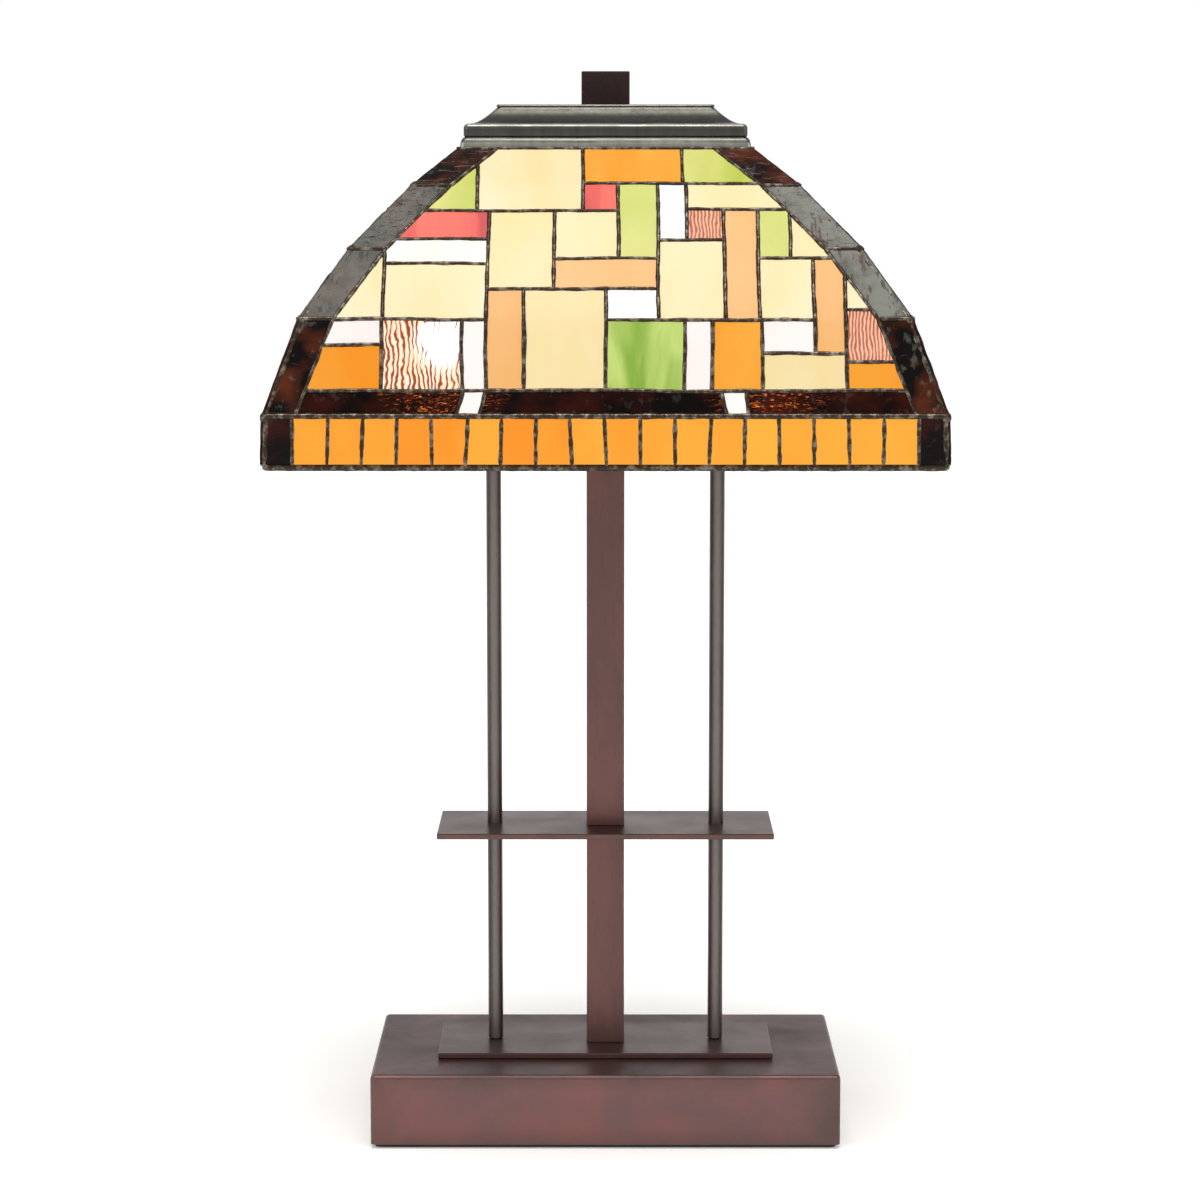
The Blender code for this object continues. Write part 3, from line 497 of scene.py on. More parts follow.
# ==== the faces of the shade
class Face:
    """One side of the shade, as points for a distance u across, v up the slope and lift outwards.

    levels holds the half width of the mosaic and the (distance out, height) of each facet's end.
    smooth is how far the facets are bent into one curve, from 0 to 1.
    """

    def __init__(self, node, quarter, smooth=0.0):
        rows = {}
        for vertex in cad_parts[node].data.vertices:
            height = round(vertex.co.z, 4)
            half, out = rows.get(height, (0.0, 0.0))
            rows[height] = (max(half, vertex.co.x), max(out, -vertex.co.y))
        self.levels = [(half, Vector((out, height)))
                       for height, (half, out) in sorted(rows.items())]
        self.knots = [0.0]
        for (_, low), (_, high) in zip(self.levels, self.levels[1:]):
            self.knots.append(self.knots[-1] + (high - low).length)
        self.quarter = quarter
        self.turn = quarter_turn(quarter)
        self.smooth = smooth
        self.top = self.knots[-1]

    def span(self, v):
        """The facet that v is in, and how far up the facet it is."""
        facet = 0
        while facet < len(self.knots) - 2 and v > self.knots[facet + 1]:
            facet += 1
        return facet, (v - self.knots[facet]) / (self.knots[facet + 1] - self.knots[facet])

    def edge(self, v):
        """Half width of the mosaic between the corner strips."""
        facet, t = self.span(v)
        return self.levels[facet][0] * (1 - t) + self.levels[facet + 1][0] * t

    def arris(self, v):
        """Distance from the middle of the face to the corner of the shade."""
        facet, t = self.span(v)
        return self.levels[facet][1].x * (1 - t) + self.levels[facet + 1][1].x * t

    def slope(self, i):
        low, high = max(i - 1, 0), min(i + 1, len(self.knots) - 1)
        return (self.levels[high][1] - self.levels[low][1]) / (self.knots[high] - self.knots[low])

    def profile(self, v):
        """Distance out and height, between the straight facets and a curve through their ends."""
        facet, t = self.span(v)
        low, high = self.levels[facet][1], self.levels[facet + 1][1]
        straight = low * (1 - t) + high * t
        if self.smooth == 0.0 or not 0.0 <= t <= 1.0:
            return straight
        run = self.knots[facet + 1] - self.knots[facet]
        curve = (low * (2 * t ** 3 - 3 * t ** 2 + 1)
                 + self.slope(facet) * run * (t ** 3 - 2 * t ** 2 + t)
                 + high * (3 * t ** 2 - 2 * t ** 3)
                 + self.slope(facet + 1) * run * (t ** 3 - t ** 2))
        return straight.lerp(curve, self.smooth)

    def flat(self, v, low, high, amount):
        """The profile drawn towards the straight line of a flat pane between low and high."""
        start, end = self.profile(low), self.profile(high)
        t = (v - low) / (high - low)
        return self.profile(v).lerp(start * (1 - t) + end * t, amount)

    def corner(self, knot):
        """The corner at the right end of the face, for a (distance out, height)."""
        return self.turn @ Vector((knot.x, -knot.x, knot.y))

    def point(self, u, v, lift=0.0, pane=None):
        """pane is the lower and upper end of a flat pane and how flat it is."""
        step = 0.0004
        if pane is None:
            here, before, after = self.profile(v), self.profile(v - step), self.profile(v + step)
        else:
            here, before, after = (self.flat(x, *pane) for x in (v, v - step, v + step))
        along = (after - before).normalized()
        lifted = here + Vector((along.y, -along.x)) * lift
        return self.turn @ Vector((u, -lifted.x, lifted.y))

    def out(self, v):
        """The way out of the glass."""
        step = 0.002
        along = (self.profile(v + step) - self.profile(v - step)).normalized()
        return self.turn @ Vector((0.0, -along.y, -along.x))

    def warp(self, u, v):
        """Hand-made drift of the layout, which fades out at the corner strips and the edges."""
        seed = 7.3 * self.quarter + 0.37
        fade = max(0.0, min(1.0, (self.edge(v) - abs(u)) / 0.012, v / 0.006))
        drift = 0.0008 * fade
        return (u + drift * wobble(u * 28, v * 28, seed),
                v + drift * wobble(u * 28, v * 28, seed + 50.0))


# ---- light of the bulbs
def bulb_middle(side):
    low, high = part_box("bulb_glass_" + side)
    reach = max(abs(low.x), abs(high.x)) - (high.z - low.z) / 2
    return Vector((math.copysign(reach, high.x), 0.0, (low.z + high.z) / 2))


BULB_SPOTS = [bulb_middle(side) for side in ("left", "right")]


def light_at(point):
    """Share of the bulbs' light at a point of the glass, about 1 on the front."""
    even, share, reach_squared = 0.72, 0.55, 0.010
    total = sum(1.0 / (1.0 + (point - bulb).length_squared / reach_squared) for bulb in BULB_SPOTS)
    return even + share * total


def spot_at(point, quarter):
    """How directly a point of a face has a bulb behind it, from 0 to 1."""
    inwards, rise, width, below, above = 0.78, 0.015, 0.024, 0.028, 0.020
    best = 0.0
    for bulb in BULB_SPOTS:
        across = point.y if quarter % 2 else point.x - bulb.x * inwards
        up = point.z - bulb.z - rise
        reach = below if up < 0 else above
        best = max(best, math.exp(-(across / width) ** 2 - (up / reach) ** 2))
    return best


def ripple(u, v, seed):
    """Height of hand-rolled ripples that run up the pane."""
    return wobble(u * 260 + 2.2 * wobble(u * 60, v * 40, seed), v * 60, seed)


def hammer(u, v, seed):
    """Height of the soft dents in dark rippled glass."""
    return wobble(u * 130, v * 210, seed) + 0.5 * wobble(u * 330, v * 330, seed + 9.0)


# spacing of a pane's points, height of its surface and by how much
FLAT, FLUTED, DENTED = (0.0045, None, 0.0), (0.0011, ripple, 0.00022), (0.0016, hammer, 0.00012)


def pane(shape, face, left, right, low, high, surface, seed, flatten=0.6, tone=0.0):
    """One piece of glass.  left and right give its edges for a height v up the slope."""
    spacing, relief, depth = surface
    low_edge, high_edge = low + INSET, high - INSET
    tries, narrowest = 160, 2 * INSET + 0.0006
    open_rows = [low_edge + (high_edge - low_edge) * i / tries for i in range(tries + 1)]
    open_rows = [v for v in open_rows if right(v) - left(v) > narrowest]
    if len(open_rows) < 3:
        return
    start, end = open_rows[0], open_rows[-1]
    rows = max(3, int(math.ceil((end - start) / min(spacing, 0.0025))))
    widest = max(right(v) - left(v) for v in open_rows)
    columns = max(2, int(math.ceil(widest / spacing)))
    outer, inner = [], []
    for r in range(rows + 1):
        v = start + (end - start) * r / rows
        first, last = left(v) + INSET, right(v) - INSET
        outer_row, inner_row = [], []
        for c in range(columns + 1):
            u = first + (last - first) * c / columns
            u, v_here = face.warp(u, v)
            if relief:
                swell = depth * relief(u, v_here, seed)
            else:
                swell = 0.00006 * wobble(u * 55, v_here * 55, seed)
            flow = (u + 0.31 * seed, v_here + 0.17 * seed, 0.11 * seed)
            for lift, row in ((swell, outer_row), (-GLASS - swell, inner_row)):
                point = face.point(u, v_here, lift, (low, high, flatten))
                spot = spot_at(point, face.quarter)
                glow = light_at(point) + (0.45 * spot if relief else 0.0)
                row.append(shape.add(point, flow, glow, tone, spot))
        outer.append(outer_row)
        inner.append(inner_row)
    shape.slab(outer, inner)


def bead(shape, spine, width, height, seed, ends=True, sides=10):
    """A lumpy solder bead along a list of (centre, way along, way out of the surface)."""
    rings, travelled = [], 0.0
    last = len(spine) - 1
    for i, (centre, along, out) in enumerate(spine):
        if i:
            travelled += (centre - spine[i - 1][0]).length
        across = along.cross(out).normalized()
        lump = (1.0 + 0.24 * wobble(travelled * 150, seed, 0.0)
                + 0.12 * wobble(travelled * 520, seed, 5.0))
        side = 0.00016 * wobble(travelled * 120, seed, 11.0)
        if ends and i in (0, last):
            lump *= 0.75
        ring = []
        for a in around(sides):
            x = math.copysign(abs(math.cos(a)) ** 0.8, math.cos(a)) * width * lump + side
            y = math.copysign(abs(math.sin(a)) ** 0.8, math.sin(a)) * height * (0.5 + 0.5 * lump)
            ring.append(shape.add(centre + across * x + out * y))
        rings.append(ring)
    shape.tube(rings, closed=not ends)


def seam(shape, face, start, end, seed, width=SEAM_WIDTH, height=SEAM_HEIGHT, warped=True):
    """A bead between two places on a face, given as (u, v)."""
    length = math.hypot(end[0] - start[0], end[1] - start[1])
    if length < 0.001:
        return
    count = max(3, int(length / 0.0016))
    centres, outs = [], []
    for i in range(count + 1):
        t = i / count
        u, v = start[0] + (end[0] - start[0]) * t, start[1] + (end[1] - start[1]) * t
        if warped:
            u, v = face.warp(u, v)
        centres.append(face.point(u, v, -GLASS / 2))
        outs.append(face.out(v))
    bead(shape, list(zip(centres, headings(centres), outs)), width, height, seed)


# ---- layout of a mosaic, in mm
HIP = None                 # the pane runs on to the corner strip
TOP_ROW, BORDER = 160.0, 12.5     # upper edge of the mosaic and of the dark border under it
MOSAIC = [                 # glass, left, right, low, high
    ("cream", -63.5, -11, 113.5, TOP_ROW), ("orange", -11, 38, 132, TOP_ROW),
    ("green", 38, HIP, 132, TOP_ROW), ("green", HIP, -63.5, 113.5, TOP_ROW),
    ("red", -11, 6.3, 113.5, 132), ("green", 6.3, 25.5, 83, 132),
    ("white", 25.5, 39.5, 94, 132), ("cream", 39.5, HIP, 114.3, 132),
    ("red", HIP, -57.5, 94.8, 113.5), ("white", -107.5, -57.5, 80, 94.8),
    ("cream", -107.5, -57.5, 48, 80), ("cream", HIP, -107.5, 48, 90),
    ("cream", -57.5, -25, 65.4, 113.5), ("cream", -25, 6.3, 83, 113.5),
    ("peach", -25, 25.5, 65.4, 83), ("cream", 25.5, 57.7, 48, 94),
    ("copper", 39.5, 57.7, 94, 114.3), ("peach", 57.7, 74.2, 48, 114.3),
    ("green", 74.2, 90.2, 83, 114.3), ("cream", 90.2, HIP, 83, 114.3),
    ("cream", 74.2, 101, 48, 83), ("peach", 101, 116, 31, 83), ("cream", 116, HIP, 53.5, 83),
    ("blush", HIP, -108, 35, 48), ("orange", HIP, -108, BORDER, 35),
    ("clear", -108, -68.8, BORDER, 48), ("blush", -68.8, -57.5, BORDER, 48),
    ("peach", -57.5, -39.5, BORDER, 65.4), ("cream", -39.5, 0, BORDER, 65.4),
    ("white", 0, 25.5, 48, 65.4), ("moss", 0, 38.2, BORDER, 48),
    ("blush", 38.2, 51.4, BORDER, 48), ("orange", 51.4, 74.9, BORDER, 48),
    ("blush", 74.9, 101, 31, 48), ("cream", 74.9, 116, BORDER, 31),
    ("copper", 116, HIP, 26.7, 53.5), ("orange", 116, HIP, BORDER, 26.7),
]
ACCENTS = [                # left and right edge of each, as u at the bottom and at the top
    ((-71.6, -68.5), (-60.6, -57.9)), ((58.5, 55.6), (68.5, 67.1)),
]
SURFACES = {"clear": FLUTED, "copper": FLUTED, "dark": DENTED}


def leaning(edge, low, high):
    """An edge that goes from edge[0] at low to edge[1] at high, in metres."""
    return lambda v: edge[0] + (edge[1] - edge[0]) * (v - low) / (high - low)


def bounded(face, left, right):
    """Edge functions of a pane, cut where the corner strip begins."""
    def left_edge(v):
        return -face.edge(v) if left is HIP else max(-face.edge(v), left * MM)

    def right_edge(v):
        return face.edge(v) if right is HIP else min(face.edge(v), right * MM)

    return left_edge, right_edge


def merged(spans):
    """Join spans that overlap or nearly touch."""
    joined = []
    for low, high in sorted(spans):
        if joined and low <= joined[-1][1] + 0.6:
            joined[-1][1] = max(joined[-1][1], high)
        else:
            joined.append([low, high])
    return joined


def mosaic_runs(face):
    """Straight seams of the mosaic: every pane edge once, as ((u, v), (u, v)) in metres."""
    level, upright, beyond = {}, {}, 1000.0
    for _, left, right, low, high in MOSAIC:
        span = (-beyond if left is HIP else left, beyond if right is HIP else right)
        for v in (low, high):
            level.setdefault(v, []).append(span)
        for u in (left, right):
            if u is not HIP:
                upright.setdefault(u, []).append((low, high))
    runs = []
    for v, spans in level.items():
        if v == TOP_ROW:
            continue
        for low, high in merged(spans):
            edge = face.edge(v * MM)
            low, high = max(low * MM, -edge), min(high * MM, edge)
            if high - low > 0.002:
                runs.append(((low, v * MM), (high, v * MM)))
    for u, spans in upright.items():
        for low, high in merged(spans):
            v = high * MM
            while v > low * MM and face.edge(v) < abs(u * MM):
                v -= 0.0005
            if v - low * MM > 0.002:
                runs.append(((u * MM, low * MM), (u * MM, v)))
    return runs


def mosaic_face(face, name):
    """Panes, border glass and solder of one side of the shade above the skirt."""
    node = "mosaic_panel_" + name
    shapes = {}
    seed = 31.0 * face.quarter
    for i, (glass, left, right, low, high) in enumerate(MOSAIC):
        shape = shapes.setdefault(glass, Shape())
        left_edge, right_edge = bounded(face, left, right)
        tone = 0.22 * wobble(i * 3.7 + seed, 1.3, 0.0)
        pane(shape, face, left_edge, right_edge, low * MM, high * MM,
             SURFACES.get(glass, FLAT), seed + i, tone=tone)

    border = BORDER * MM
    edges = [lambda v: -face.edge(v)]
    for left, right in ACCENTS:
        for edge in (left, right):
            edges.append(leaning((edge[0] * MM, edge[1] * MM), 0.0, border))
    edges.append(face.edge)
    for i, (left_edge, right_edge) in enumerate(zip(edges, edges[1:])):
        glass = "blush" if i % 2 else "dark"
        pane(shapes.setdefault(glass, Shape()), face, left_edge, right_edge, 0.0, border,
             SURFACES.get(glass, FLAT), seed + 60 + i, 1.0)

    for glass, shape in sorted(shapes.items()):
        obj = shape.build("panes_%s_%s" % (glass, name), GLASSES[glass])
        place(obj, "shade", "mosaic_glass", node)

    lines = Shape()
    for i, (start, end) in enumerate(mosaic_runs(face)):
        seam(lines, face, start, end, seed + 0.7 * i)
    for edge in edges[1:-1]:
        seam(lines, face, (edge(0.0), 0.0), (edge(border), border), seed + 90)
    head = face.top - 0.0006
    reach = face.arris(head) - 0.0015
    seam(lines, face, (-reach, head), (reach, head), seed + 95, HEAD_SEAM, warped=False)
    lay_solder(lines, "solder_mosaic_" + name, node)


# ---- skirt
TILES = 18


def skirt_face(face, name):
    """Row of small orange tiles, their solder and the seam above them."""
    half, height = face.edge(0.0), face.top
    seed = 200.0 + 17.0 * face.quarter
    cuts = []
    for i in range(TILES + 1):
        u, lean = -half + 2 * half * i / TILES, 0.0
        if 0 < i < TILES:
            u += 0.0006 * wobble(i * 2.3, seed, 0.0)
            lean = 0.0013 * wobble(i * 1.7, seed, 4.0)
        cuts.append(leaning((u - lean, u + lean), 0.0, height))
    tiles = Shape()
    for i, (left_edge, right_edge) in enumerate(zip(cuts, cuts[1:])):
        tone = 0.5 * wobble(i * 5.1, seed, 8.0)
        pane(tiles, face, left_edge, right_edge, 0.0, height, FLAT, seed + i, 1.0, tone)
    place(tiles.build("tiles_" + name, TILE_GLASS), "shade", "tile_glass", "tile_band_" + name)
    lines = Shape()
    for i, edge in enumerate(cuts):
        seam(lines, face, (edge(0.0), 0.0), (edge(height), height), seed + i,
             SKIRT_SEAM, FLUSH_HEIGHT, warped=False)
    lay_solder(lines, "solder_skirt_" + name, "tile_band_" + name)


# ---- corners
CORNERS = ["front_left", "front_right", "back_right", "back_left"]
SHEEN_BY_END = {-1: 0.42, 1: 1.0}  # how strong the painted reflection on the middle facets is, weaker at a face's left end than at its right


def corner_glass(face, way, seed):
    """Dark glass from the mosaic to the corner, way 1 at a face's right end and -1 at its left."""
    glass = Shape()
    if way > 0:
        left_edge, right_edge = face.edge, face.arris
    else:
        left_edge, right_edge = (lambda v: -face.arris(v)), (lambda v: -face.edge(v))
    for i, (low, high) in enumerate(zip(face.knots, face.knots[1:])):
        # the middle facets get the painted reflection of the overhead light
        tone = SHEEN_BY_END[way] if 0 < i < 3 else 0.0
        pane(glass, face, left_edge, right_edge, low, high, DENTED, seed + i, 1.0, tone)
    return glass


def arris_spine(upper, lower):
    """The corner at the right end of a face, from the rim to the cap, for bead()."""
    knots = [lower.levels[0][1]] + [knot for _, knot in upper.levels]
    out = upper.turn @ Vector((1.0, -1.0, 0.0)).normalized()
    points = []
    for low, high in zip(knots, knots[1:]):
        count = max(2, int((high - low).length / 0.0022))
        points += [low.lerp(high, i / count) for i in range(count)]
    points = [upper.corner(point) for point in points + knots[-1:]]
    spine = []
    for point, along in zip(points, headings(points)):
        away = (out - along * out.dot(along)).normalized()
        spine.append((point - away * ARRIS_DEPTH, along, away))
    return spine


def blob(shape, centre, out, width, height, seed):
    """A drop of solder where seams meet."""
    across = out.orthogonal().normalized()
    along = out.cross(across)
    rings = []
    for i in range(1, 6):
        polar = math.pi * i / 6
        ring = []
        for k, a in enumerate(around(10)):
            radius = width * math.sin(polar) * (1.0 + 0.15 * wobble(seed, k * 0.9, i * 0.8))
            side = (across * math.cos(a) + along * math.sin(a)) * radius
            ring.append(shape.add(centre + side + out * (height * math.cos(polar))))
        rings.append(ring)
    shape.tube(rings)


def straight_faces(quarter):
    return Face("mosaic_panel_front", quarter), Face("tile_band_front", quarter)


def shade_corners():
    """Glass strips and solder of the four corners.  Corner q is the left end of face q."""
    for quarter, name in enumerate(CORNERS):
        node = "corner_strip_" + name
        lines = Shape()
        upper, lower = straight_faces(quarter - 1)
        bead(lines, arris_spine(upper, lower), ARRIS_WIDTH, ARRIS_HEIGHT, 500.0 + quarter)
        away = upper.turn @ Vector((1.0, -1.0, 0.6)).normalized()
        for _, knot in upper.levels[:-1]:
            blob(lines, upper.corner(knot) - away * 0.0026, away, 0.0029, 0.0024,
                 540.0 + quarter + knot.y)
        for face_quarter, way in ((quarter, -1), ((quarter - 1) % 4, 1)):
            ending = name + "_" + FACES[face_quarter]
            seed = 400.0 + 13.0 * face_quarter + 3.0 * way
            upper, lower = straight_faces(face_quarter)
            strip, tile = corner_glass(upper, way, seed), corner_glass(lower, way, seed + 9)
            for piece in (strip.build("corner_glass_" + ending, GLASSES["corner"]),
                          tile.build("corner_tile_" + ending, GLASSES["dark"])):
                place(piece, "shade", "corner_glass", node)
            for i, (low, high) in enumerate(zip(upper.knots, upper.knots[1:])):
                start, end = (way * upper.edge(low), low), (way * upper.edge(high), high)
                seam(lines, upper, start, end, seed + 120 + i, STRIP_SEAM, warped=False)
                if i:
                    end = (way * upper.arris(low), low)
                    seam(lines, upper, start, end, seed + 160 + i, STRIP_SEAM, warped=False)
        lay_solder(lines, "solder_corner_" + name, node)


def rim():
    """Solder round the lower edge of the skirt."""
    low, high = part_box("rim_channel")
    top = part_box("tile_band_front")[0].z + 0.0011
    half_height = (top - low.z) / 2
    half_width, corner_radius = 0.0021, 0.0030
    half = high.x - half_width * 1.34
    straight = half - corner_radius
    steps, corner_steps = 170, 5
    side = [(straight * (2.0 * i / (steps - 1) - 1.0), -half) for i in range(steps)]
    for i in range(1, corner_steps):
        a = math.pi / 2 * i / corner_steps
        side.append((straight + corner_radius * math.sin(a),
                     -straight - corner_radius * math.cos(a)))
    path = [quarter_turn(quarter) @ Vector((x, y, low.z + half_height))
            for quarter in range(4) for x, y in side]
    up = Vector((0.0, 0.0, 1.0))
    spine = [(point, (path[(i + 1) % len(path)] - path[i - 1]).normalized(), up)
             for i, point in enumerate(path)]
    shape = Shape()
    bead(shape, spine, half_width, half_height, 600.0, ends=False)
    lay_solder(shape, "rim_solder", "rim_channel")


def ledge_seam():
    """Thick solder line where each mosaic meets the skirt."""
    for quarter, name in enumerate(FACES):
        face = Face("mosaic_panel_front", quarter)
        lines = Shape()
        reach = face.arris(0.0) - 0.001
        seam(lines, face, (-reach, 0.0), (reach, 0.0), 640.0 + quarter, LEDGE_SEAM, warped=False)
        lay_solder(lines, "solder_ledge_" + name, "mosaic_panel_" + name, "tile_band_" + name)


for face_number, face_name in enumerate(FACES):
    mosaic_face(Face("mosaic_panel_front", face_number, 0.5), face_name)
    skirt_face(Face("tile_band_front", face_number), face_name)
shade_corners()
rim()
ledge_seam()


# ==== turned and swept metal
def lathe(name, profile, material, origin=(0.0, 0.0, 0.0), axis=(0.0, 0.0, 1.0)):
    """A profile of (radius, distance along the axis), turned.

    It runs down the outside and up the inside.  tone is 1 along four lines, where a rod gets its
    painted highlight streaks.
    """
    shape = Shape()
    aim = Vector(axis).to_track_quat("Z", "Y").to_matrix()
    origin = Vector(origin)
    rings = []
    for radius, along in profile:
        ring = []
        for a in around(48):
            point = Vector((radius * math.cos(a), radius * math.sin(a), along))
            ring.append(shape.add(origin + aim @ point, tone=0.5 + 0.5 * math.cos(4.0 * a)))
        rings.append(ring)
    tiny = 1e-6
    closed = profile[0][0] > tiny and profile[-1][0] > tiny
    shape.tube(rings, closed=closed)
    obj = shape.build(name, material, 35.0)
    if not closed:
        face_outwards(obj.data, join=tiny)
    return obj


def square_sweep(name, profile, material, corner_radius):
    """A closed profile of (half width, height), carried round a square with rounded corners."""
    shape = Shape()
    rings = []
    for half, height in profile:
        ring = []
        radius = min(corner_radius, half * 0.5)
        for quarter in range(4):
            turn = quarter_turn(quarter)
            for i in range(5):
                a = math.radians(-90.0 + 90.0 * i / 4)
                x = half - radius + radius * math.cos(a)
                y = -half + radius + radius * math.sin(a)
                ring.append(shape.add(turn @ Vector((x, y, height))))
        rings.append(ring)
    shape.tube(rings, closed=True)
    return shape.build(name, material, 30.0)


def arc(centre, radius, start, end, count):
    """Points round part of a circle, angles in degrees."""
    points = []
    for i in range(count + 1):
        a = math.radians(start + (end - start) * i / count)
        points.append((centre[0] + radius * math.cos(a), centre[1] + radius * math.sin(a)))
    return points


def cap():
    """Pressed square cap: a lip, a hollow cove, a rolled band and a sloping foot."""
    low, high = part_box("shade_cap")
    top, foot, sheet, hole = high.z, low.z, 0.0012, 0.0038
    lip = [(0.0300, 0.0), (0.0545, 0.0), (0.0550, 0.0002), (0.0552, 0.0006), (0.0551, 0.0010),
           (0.0548, 0.0013)]
    slope = [(0.0710, 0.0167), (0.0717, 0.0171), (0.0722, 0.0178), (0.0727, 0.0190)]
    lining = [(0.0700, 0.0180), (0.0688, 0.0130), (0.0550, 0.0040), (0.0530, sheet), (hole, sheet)]
    cove = [(0.0549 + 0.0141 * t, top - 0.0016 - 0.0082 * math.sin(math.pi / 2 * t))
            for t in (i / 14 for i in range(15))]
    band = (arc((0.0690, top - 0.0120), 0.0022, 75, 0, 6)
            + arc((0.0702, top - 0.0154), 0.0010, 0, -60, 4))
    hem = [(0.0731, foot + 0.0004), (0.0731, foot), (0.0717, foot)]

    def below_top(points):
        return [(half, top - drop) for half, drop in points]

    profile = ([(hole, top)] + below_top(lip) + cove + band + below_top(slope) + hem
               + below_top(lining))
    shell = square_sweep("cap_shell", profile, pewter("cap_patina_and_light_bands", top), corner_radius=0.0022)
    place(shell, "shade", "cap_pewter", "shade_cap")


BASE_METAL = bronze("patina_base", (0.196, 0.084, 0.078), (0.140, 0.084, 0.084), (0.34, 0.5), 22.0,
                    box=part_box("base_casing"))
PLATE_METAL = bronze("patina_plate", (0.124, 0.071, 0.063), (0.096, 0.058, 0.052),
                     (0.30, 0.40), 30.0)
COLUMN_METAL = bronze("patina_column", (0.138, 0.066, 0.060), (0.098, 0.058, 0.055),
                      (0.34, 0.48), 30.0, stretch=(1.0, 1.0, 0.25))
ROD_METAL = streaked_rod("rod_patina_and_streaks")
FINIAL_METAL = bronze("patina_finial", (0.034, 0.017, 0.016), (0.022, 0.012, 0.012),
                      (0.34, 0.5), 40.0)
ZINC = plain_metal("zinc_plate", (0.55, 0.55, 0.53), 0.38)
BRASS = plain_metal("satin_brass", (0.72, 0.52, 0.22), 0.28)
IRON = moulded("cast_iron", (0.055, 0.055, 0.056), 0.75, 500.0, 0.5)
FELT = moulded("pressed_felt", (0.016, 0.015, 0.015), 0.95, 2200.0, 0.8)
PHENOLIC = moulded("phenolic", (0.030, 0.022, 0.018), 0.45)
KNOB_BLACK = moulded("knob_plastic", (0.015, 0.015, 0.015), 0.35)
WIRE = moulded("wire_insulation", (0.62, 0.46, 0.20), 0.5)
BULB_METAL = plain_metal("bulb_aluminium", (0.70, 0.68, 0.62), 0.28)

CARRIED = [                # nodes that keep their own shape, by the start of their names
    (BASE_METAL, "base_casing"), (PLATE_METAL, "plinth_plate mid_plate top_plate"),
    (COLUMN_METAL, "lower_column upper_column"), (FINIAL_METAL, "finial"),
    (ZINC, "bottom_cover cover_screw pipe_washer pipe_lock_nut rod_lock_nut rod_cap_nut"),
    (ZINC, "centre_pipe column_top_nut nipple shade_spider"),
    (BRASS, "cluster_body socket_cap socket_shell riser_rod seat"), (IRON, "base_ballast"),
    (FELT, "felt_pad"), (PHENOLIC, "socket_insert"), (KNOB_BLACK, "turn_knob cord_gland"),
    (WIRE, "lead_"), (BULB_METAL, "bulb_base"),
]
for node_name, node_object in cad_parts.items():
    for material, starts in CARRIED:
        if node_name.startswith(tuple(starts.split())):
            node_object.data.materials.clear()
            node_object.data.materials.append(material)


def rods():
    """Two round rods with a thin stud at each end, between the plinth and the top plate."""
    gap, stud, soft = 0.0003, 0.0025, 0.0004
    foot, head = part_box("plinth_plate")[1].z + gap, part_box("top_plate")[0].z - gap
    for side in ("left", "right"):
        low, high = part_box("rod_" + side)
        radius = (high.x - low.x) / 2
        profile = [(0.0, high.z), (stud, high.z), (stud, head), (radius - soft, head),
                   (radius, head - soft), (radius, foot + soft), (radius - soft, foot),
                   (stud, foot), (stud, low.z), (0.0, low.z)]
        rod = lathe("round_rod_" + side, profile, ROD_METAL, ((low.x + high.x) / 2, 0.0, 0.0))
        place(rod, "lamp", "rod_bronze", "rod_" + side)


def bulbs():
    """Pear-shaped frosted envelopes."""
    neck, wall, steps = 0.0118, 0.0010, 16
    for side, way in (("left", -1.0), ("right", 1.0)):
        low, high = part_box("bulb_glass_" + side)
        axis_z, swell = (low.z + high.z) / 2, (high.z - low.z) / 2
        tip, base = max(abs(low.x), abs(high.x)), min(abs(low.x), abs(high.x))
        widest, neck_end = tip - 0.0255, base + 0.0140
        profile = []
        for thin in (0.0, wall):
            outline = [(0.0, tip - thin)]
            for i in range(1, steps + 1):
                a = math.pi / 2 * i / steps
                outline.append(((swell - thin) * math.sin(a),
                                widest + (tip - thin - widest) * math.cos(a)))
            for i in range(1, steps + 1):
                t = i / steps
                blend = 0.5 + 0.5 * math.cos(math.pi * t)
                outline.append((neck - thin + (swell - neck) * blend,
                                widest + (neck_end - widest) * t))
            outline.append((neck - thin, base))
            profile += outline if thin == 0.0 else outline[::-1]
        frost = frosted_bulb("bulb_frosted_" + side, neck_end, widest - 0.004)
        bulb = lathe("bulb_envelope_" + side, profile, frost, (0.0, 0.0, axis_z), (way, 0.0, 0.0))
        place(bulb, "bulb_" + side, "bulb_white", "bulb_glass_" + side)


cap()
rods()
bulbs()


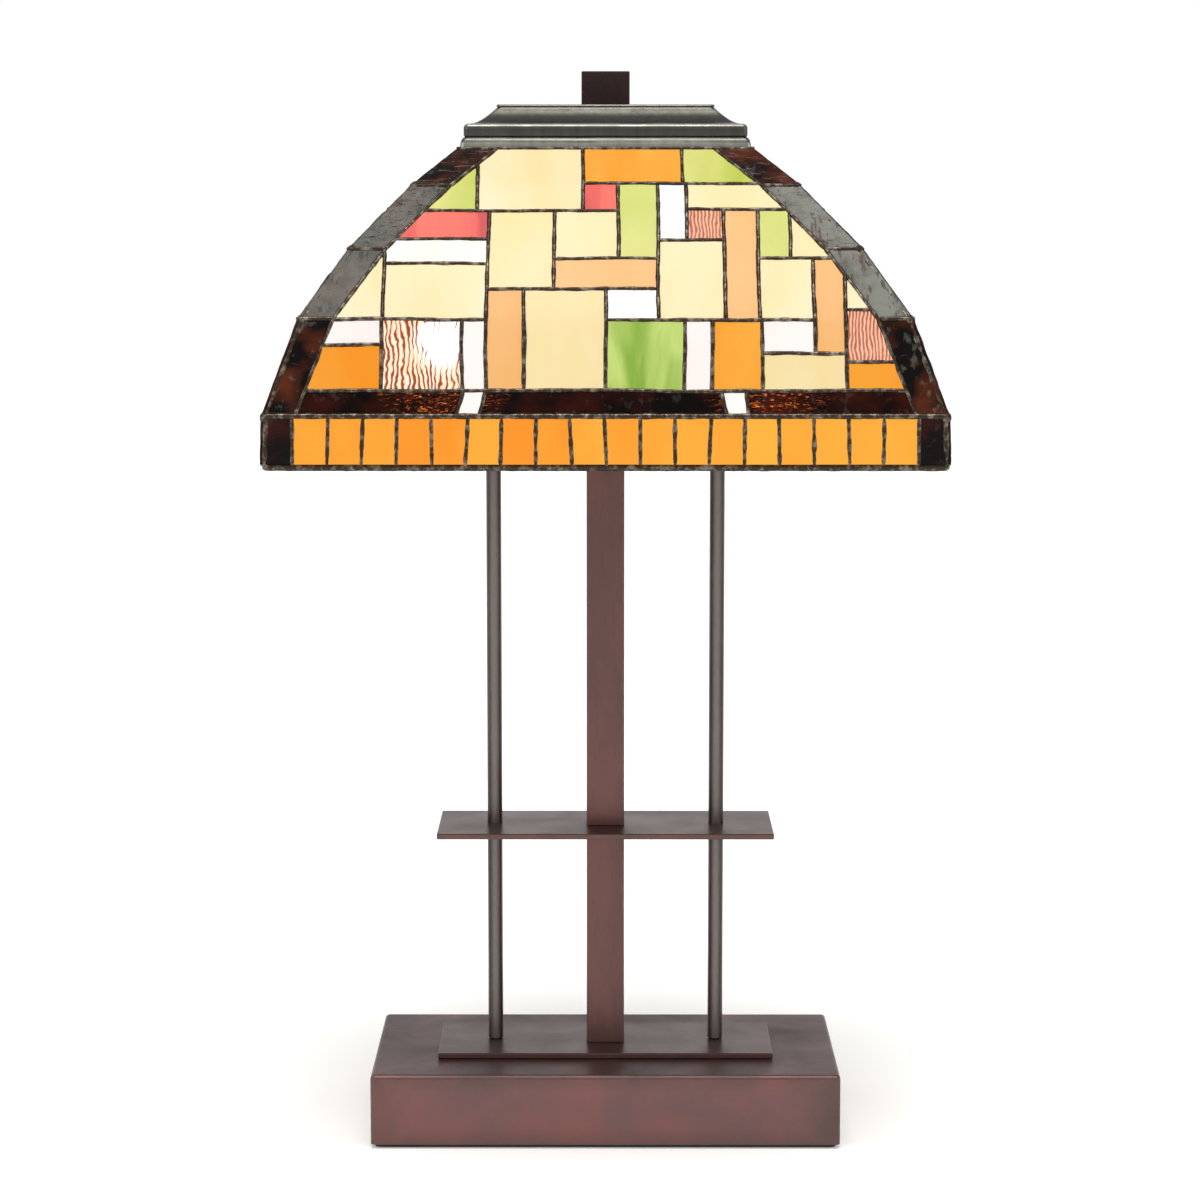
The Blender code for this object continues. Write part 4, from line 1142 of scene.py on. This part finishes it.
# ==== studio
def studio_world():
    """White near and below the horizon, grey overhead."""
    world = bpy.data.worlds.new("studio")
    bpy.context.scene.world = world
    world.use_nodes = True
    tree = world.node_tree
    background = tree.nodes["Background"]
    coordinates = tree.nodes.new("ShaderNodeTexCoord")
    split = tree.nodes.new("ShaderNodeSeparateXYZ")
    ramp = tree.nodes.new("ShaderNodeValToRGB")
    tree.links.new(coordinates.outputs["Generated"], split.inputs[0])
    tree.links.new(split.outputs["Z"], ramp.inputs[0])
    tree.links.new(ramp.outputs["Color"], background.inputs["Color"])
    levels = ((0.15, (1.0, 1.0, 1.0, 1.0)), (0.50, (0.42, 0.42, 0.43, 1.0)))
    for stop, (position, colour) in zip(ramp.color_ramp.elements, levels):
        stop.position = position
        stop.color = colour


def studio_floor():
    """Wide white disc, just under the felt."""
    paint = Paint("studio_floor")
    grain = paint.noise(paint.place(), 3.0, 2.0)
    paint.set(Base_Color=paint.mix(grain, (0.88, 0.88, 0.88), (0.90, 0.90, 0.90)), Roughness=0.9,
              Emission_Color=(1.0, 1.0, 1.0), Emission_Strength=0.20)
    shape = Shape()
    radius, drop = 6.0, 0.0005
    shape.faces.append([shape.add(Vector((radius * math.cos(a), radius * math.sin(a), -drop)))
                        for a in around(64)])
    floor = shape.build("studio_floor", paint.material)


def softbox(name, position, power):
    """Square area light that faces the middle of the lamp."""
    light = bpy.data.lights.new(name, "AREA")
    light.energy = power
    light.size = 0.8
    obj = link(name, light)
    obj.location = position
    aim = Vector((0.0, 0.0, 0.3)) - Vector(position)
    obj.rotation_euler = aim.to_track_quat("-Z", "Y").to_euler()


def overhead():
    """Broad light from above and a little in front."""
    light = bpy.data.lights.new("overhead", "SUN")
    light.energy = 2.3
    light.color = (1.0, 0.985, 0.94)
    light.angle = math.radians(40.0)
    aim = Vector((0.0, 0.292, -0.956))
    link("overhead", light).rotation_euler = aim.to_track_quat("-Z", "Y").to_euler()


def camera():
    data = bpy.data.cameras.new("camera")
    data.lens = 99.5
    data.sensor_width = 36.0
    data.clip_start = 0.05
    obj = link("camera", data)
    obj.location = (0.0, -1.7489, 0.5129)
    pitch, yaw = math.radians(7.546), math.radians(0.095)
    obj.rotation_euler = (math.pi / 2 - pitch, 0.0, yaw)
    bpy.context.scene.camera = obj


studio_world()
studio_floor()
softbox("key_left", (-1.3, -1.1, 1.0), 6.0)
softbox("fill_right", (1.4, -0.9, 0.8), 5.0)
overhead()
camera()
bpy.context.scene.view_settings.view_transform = "Standard"
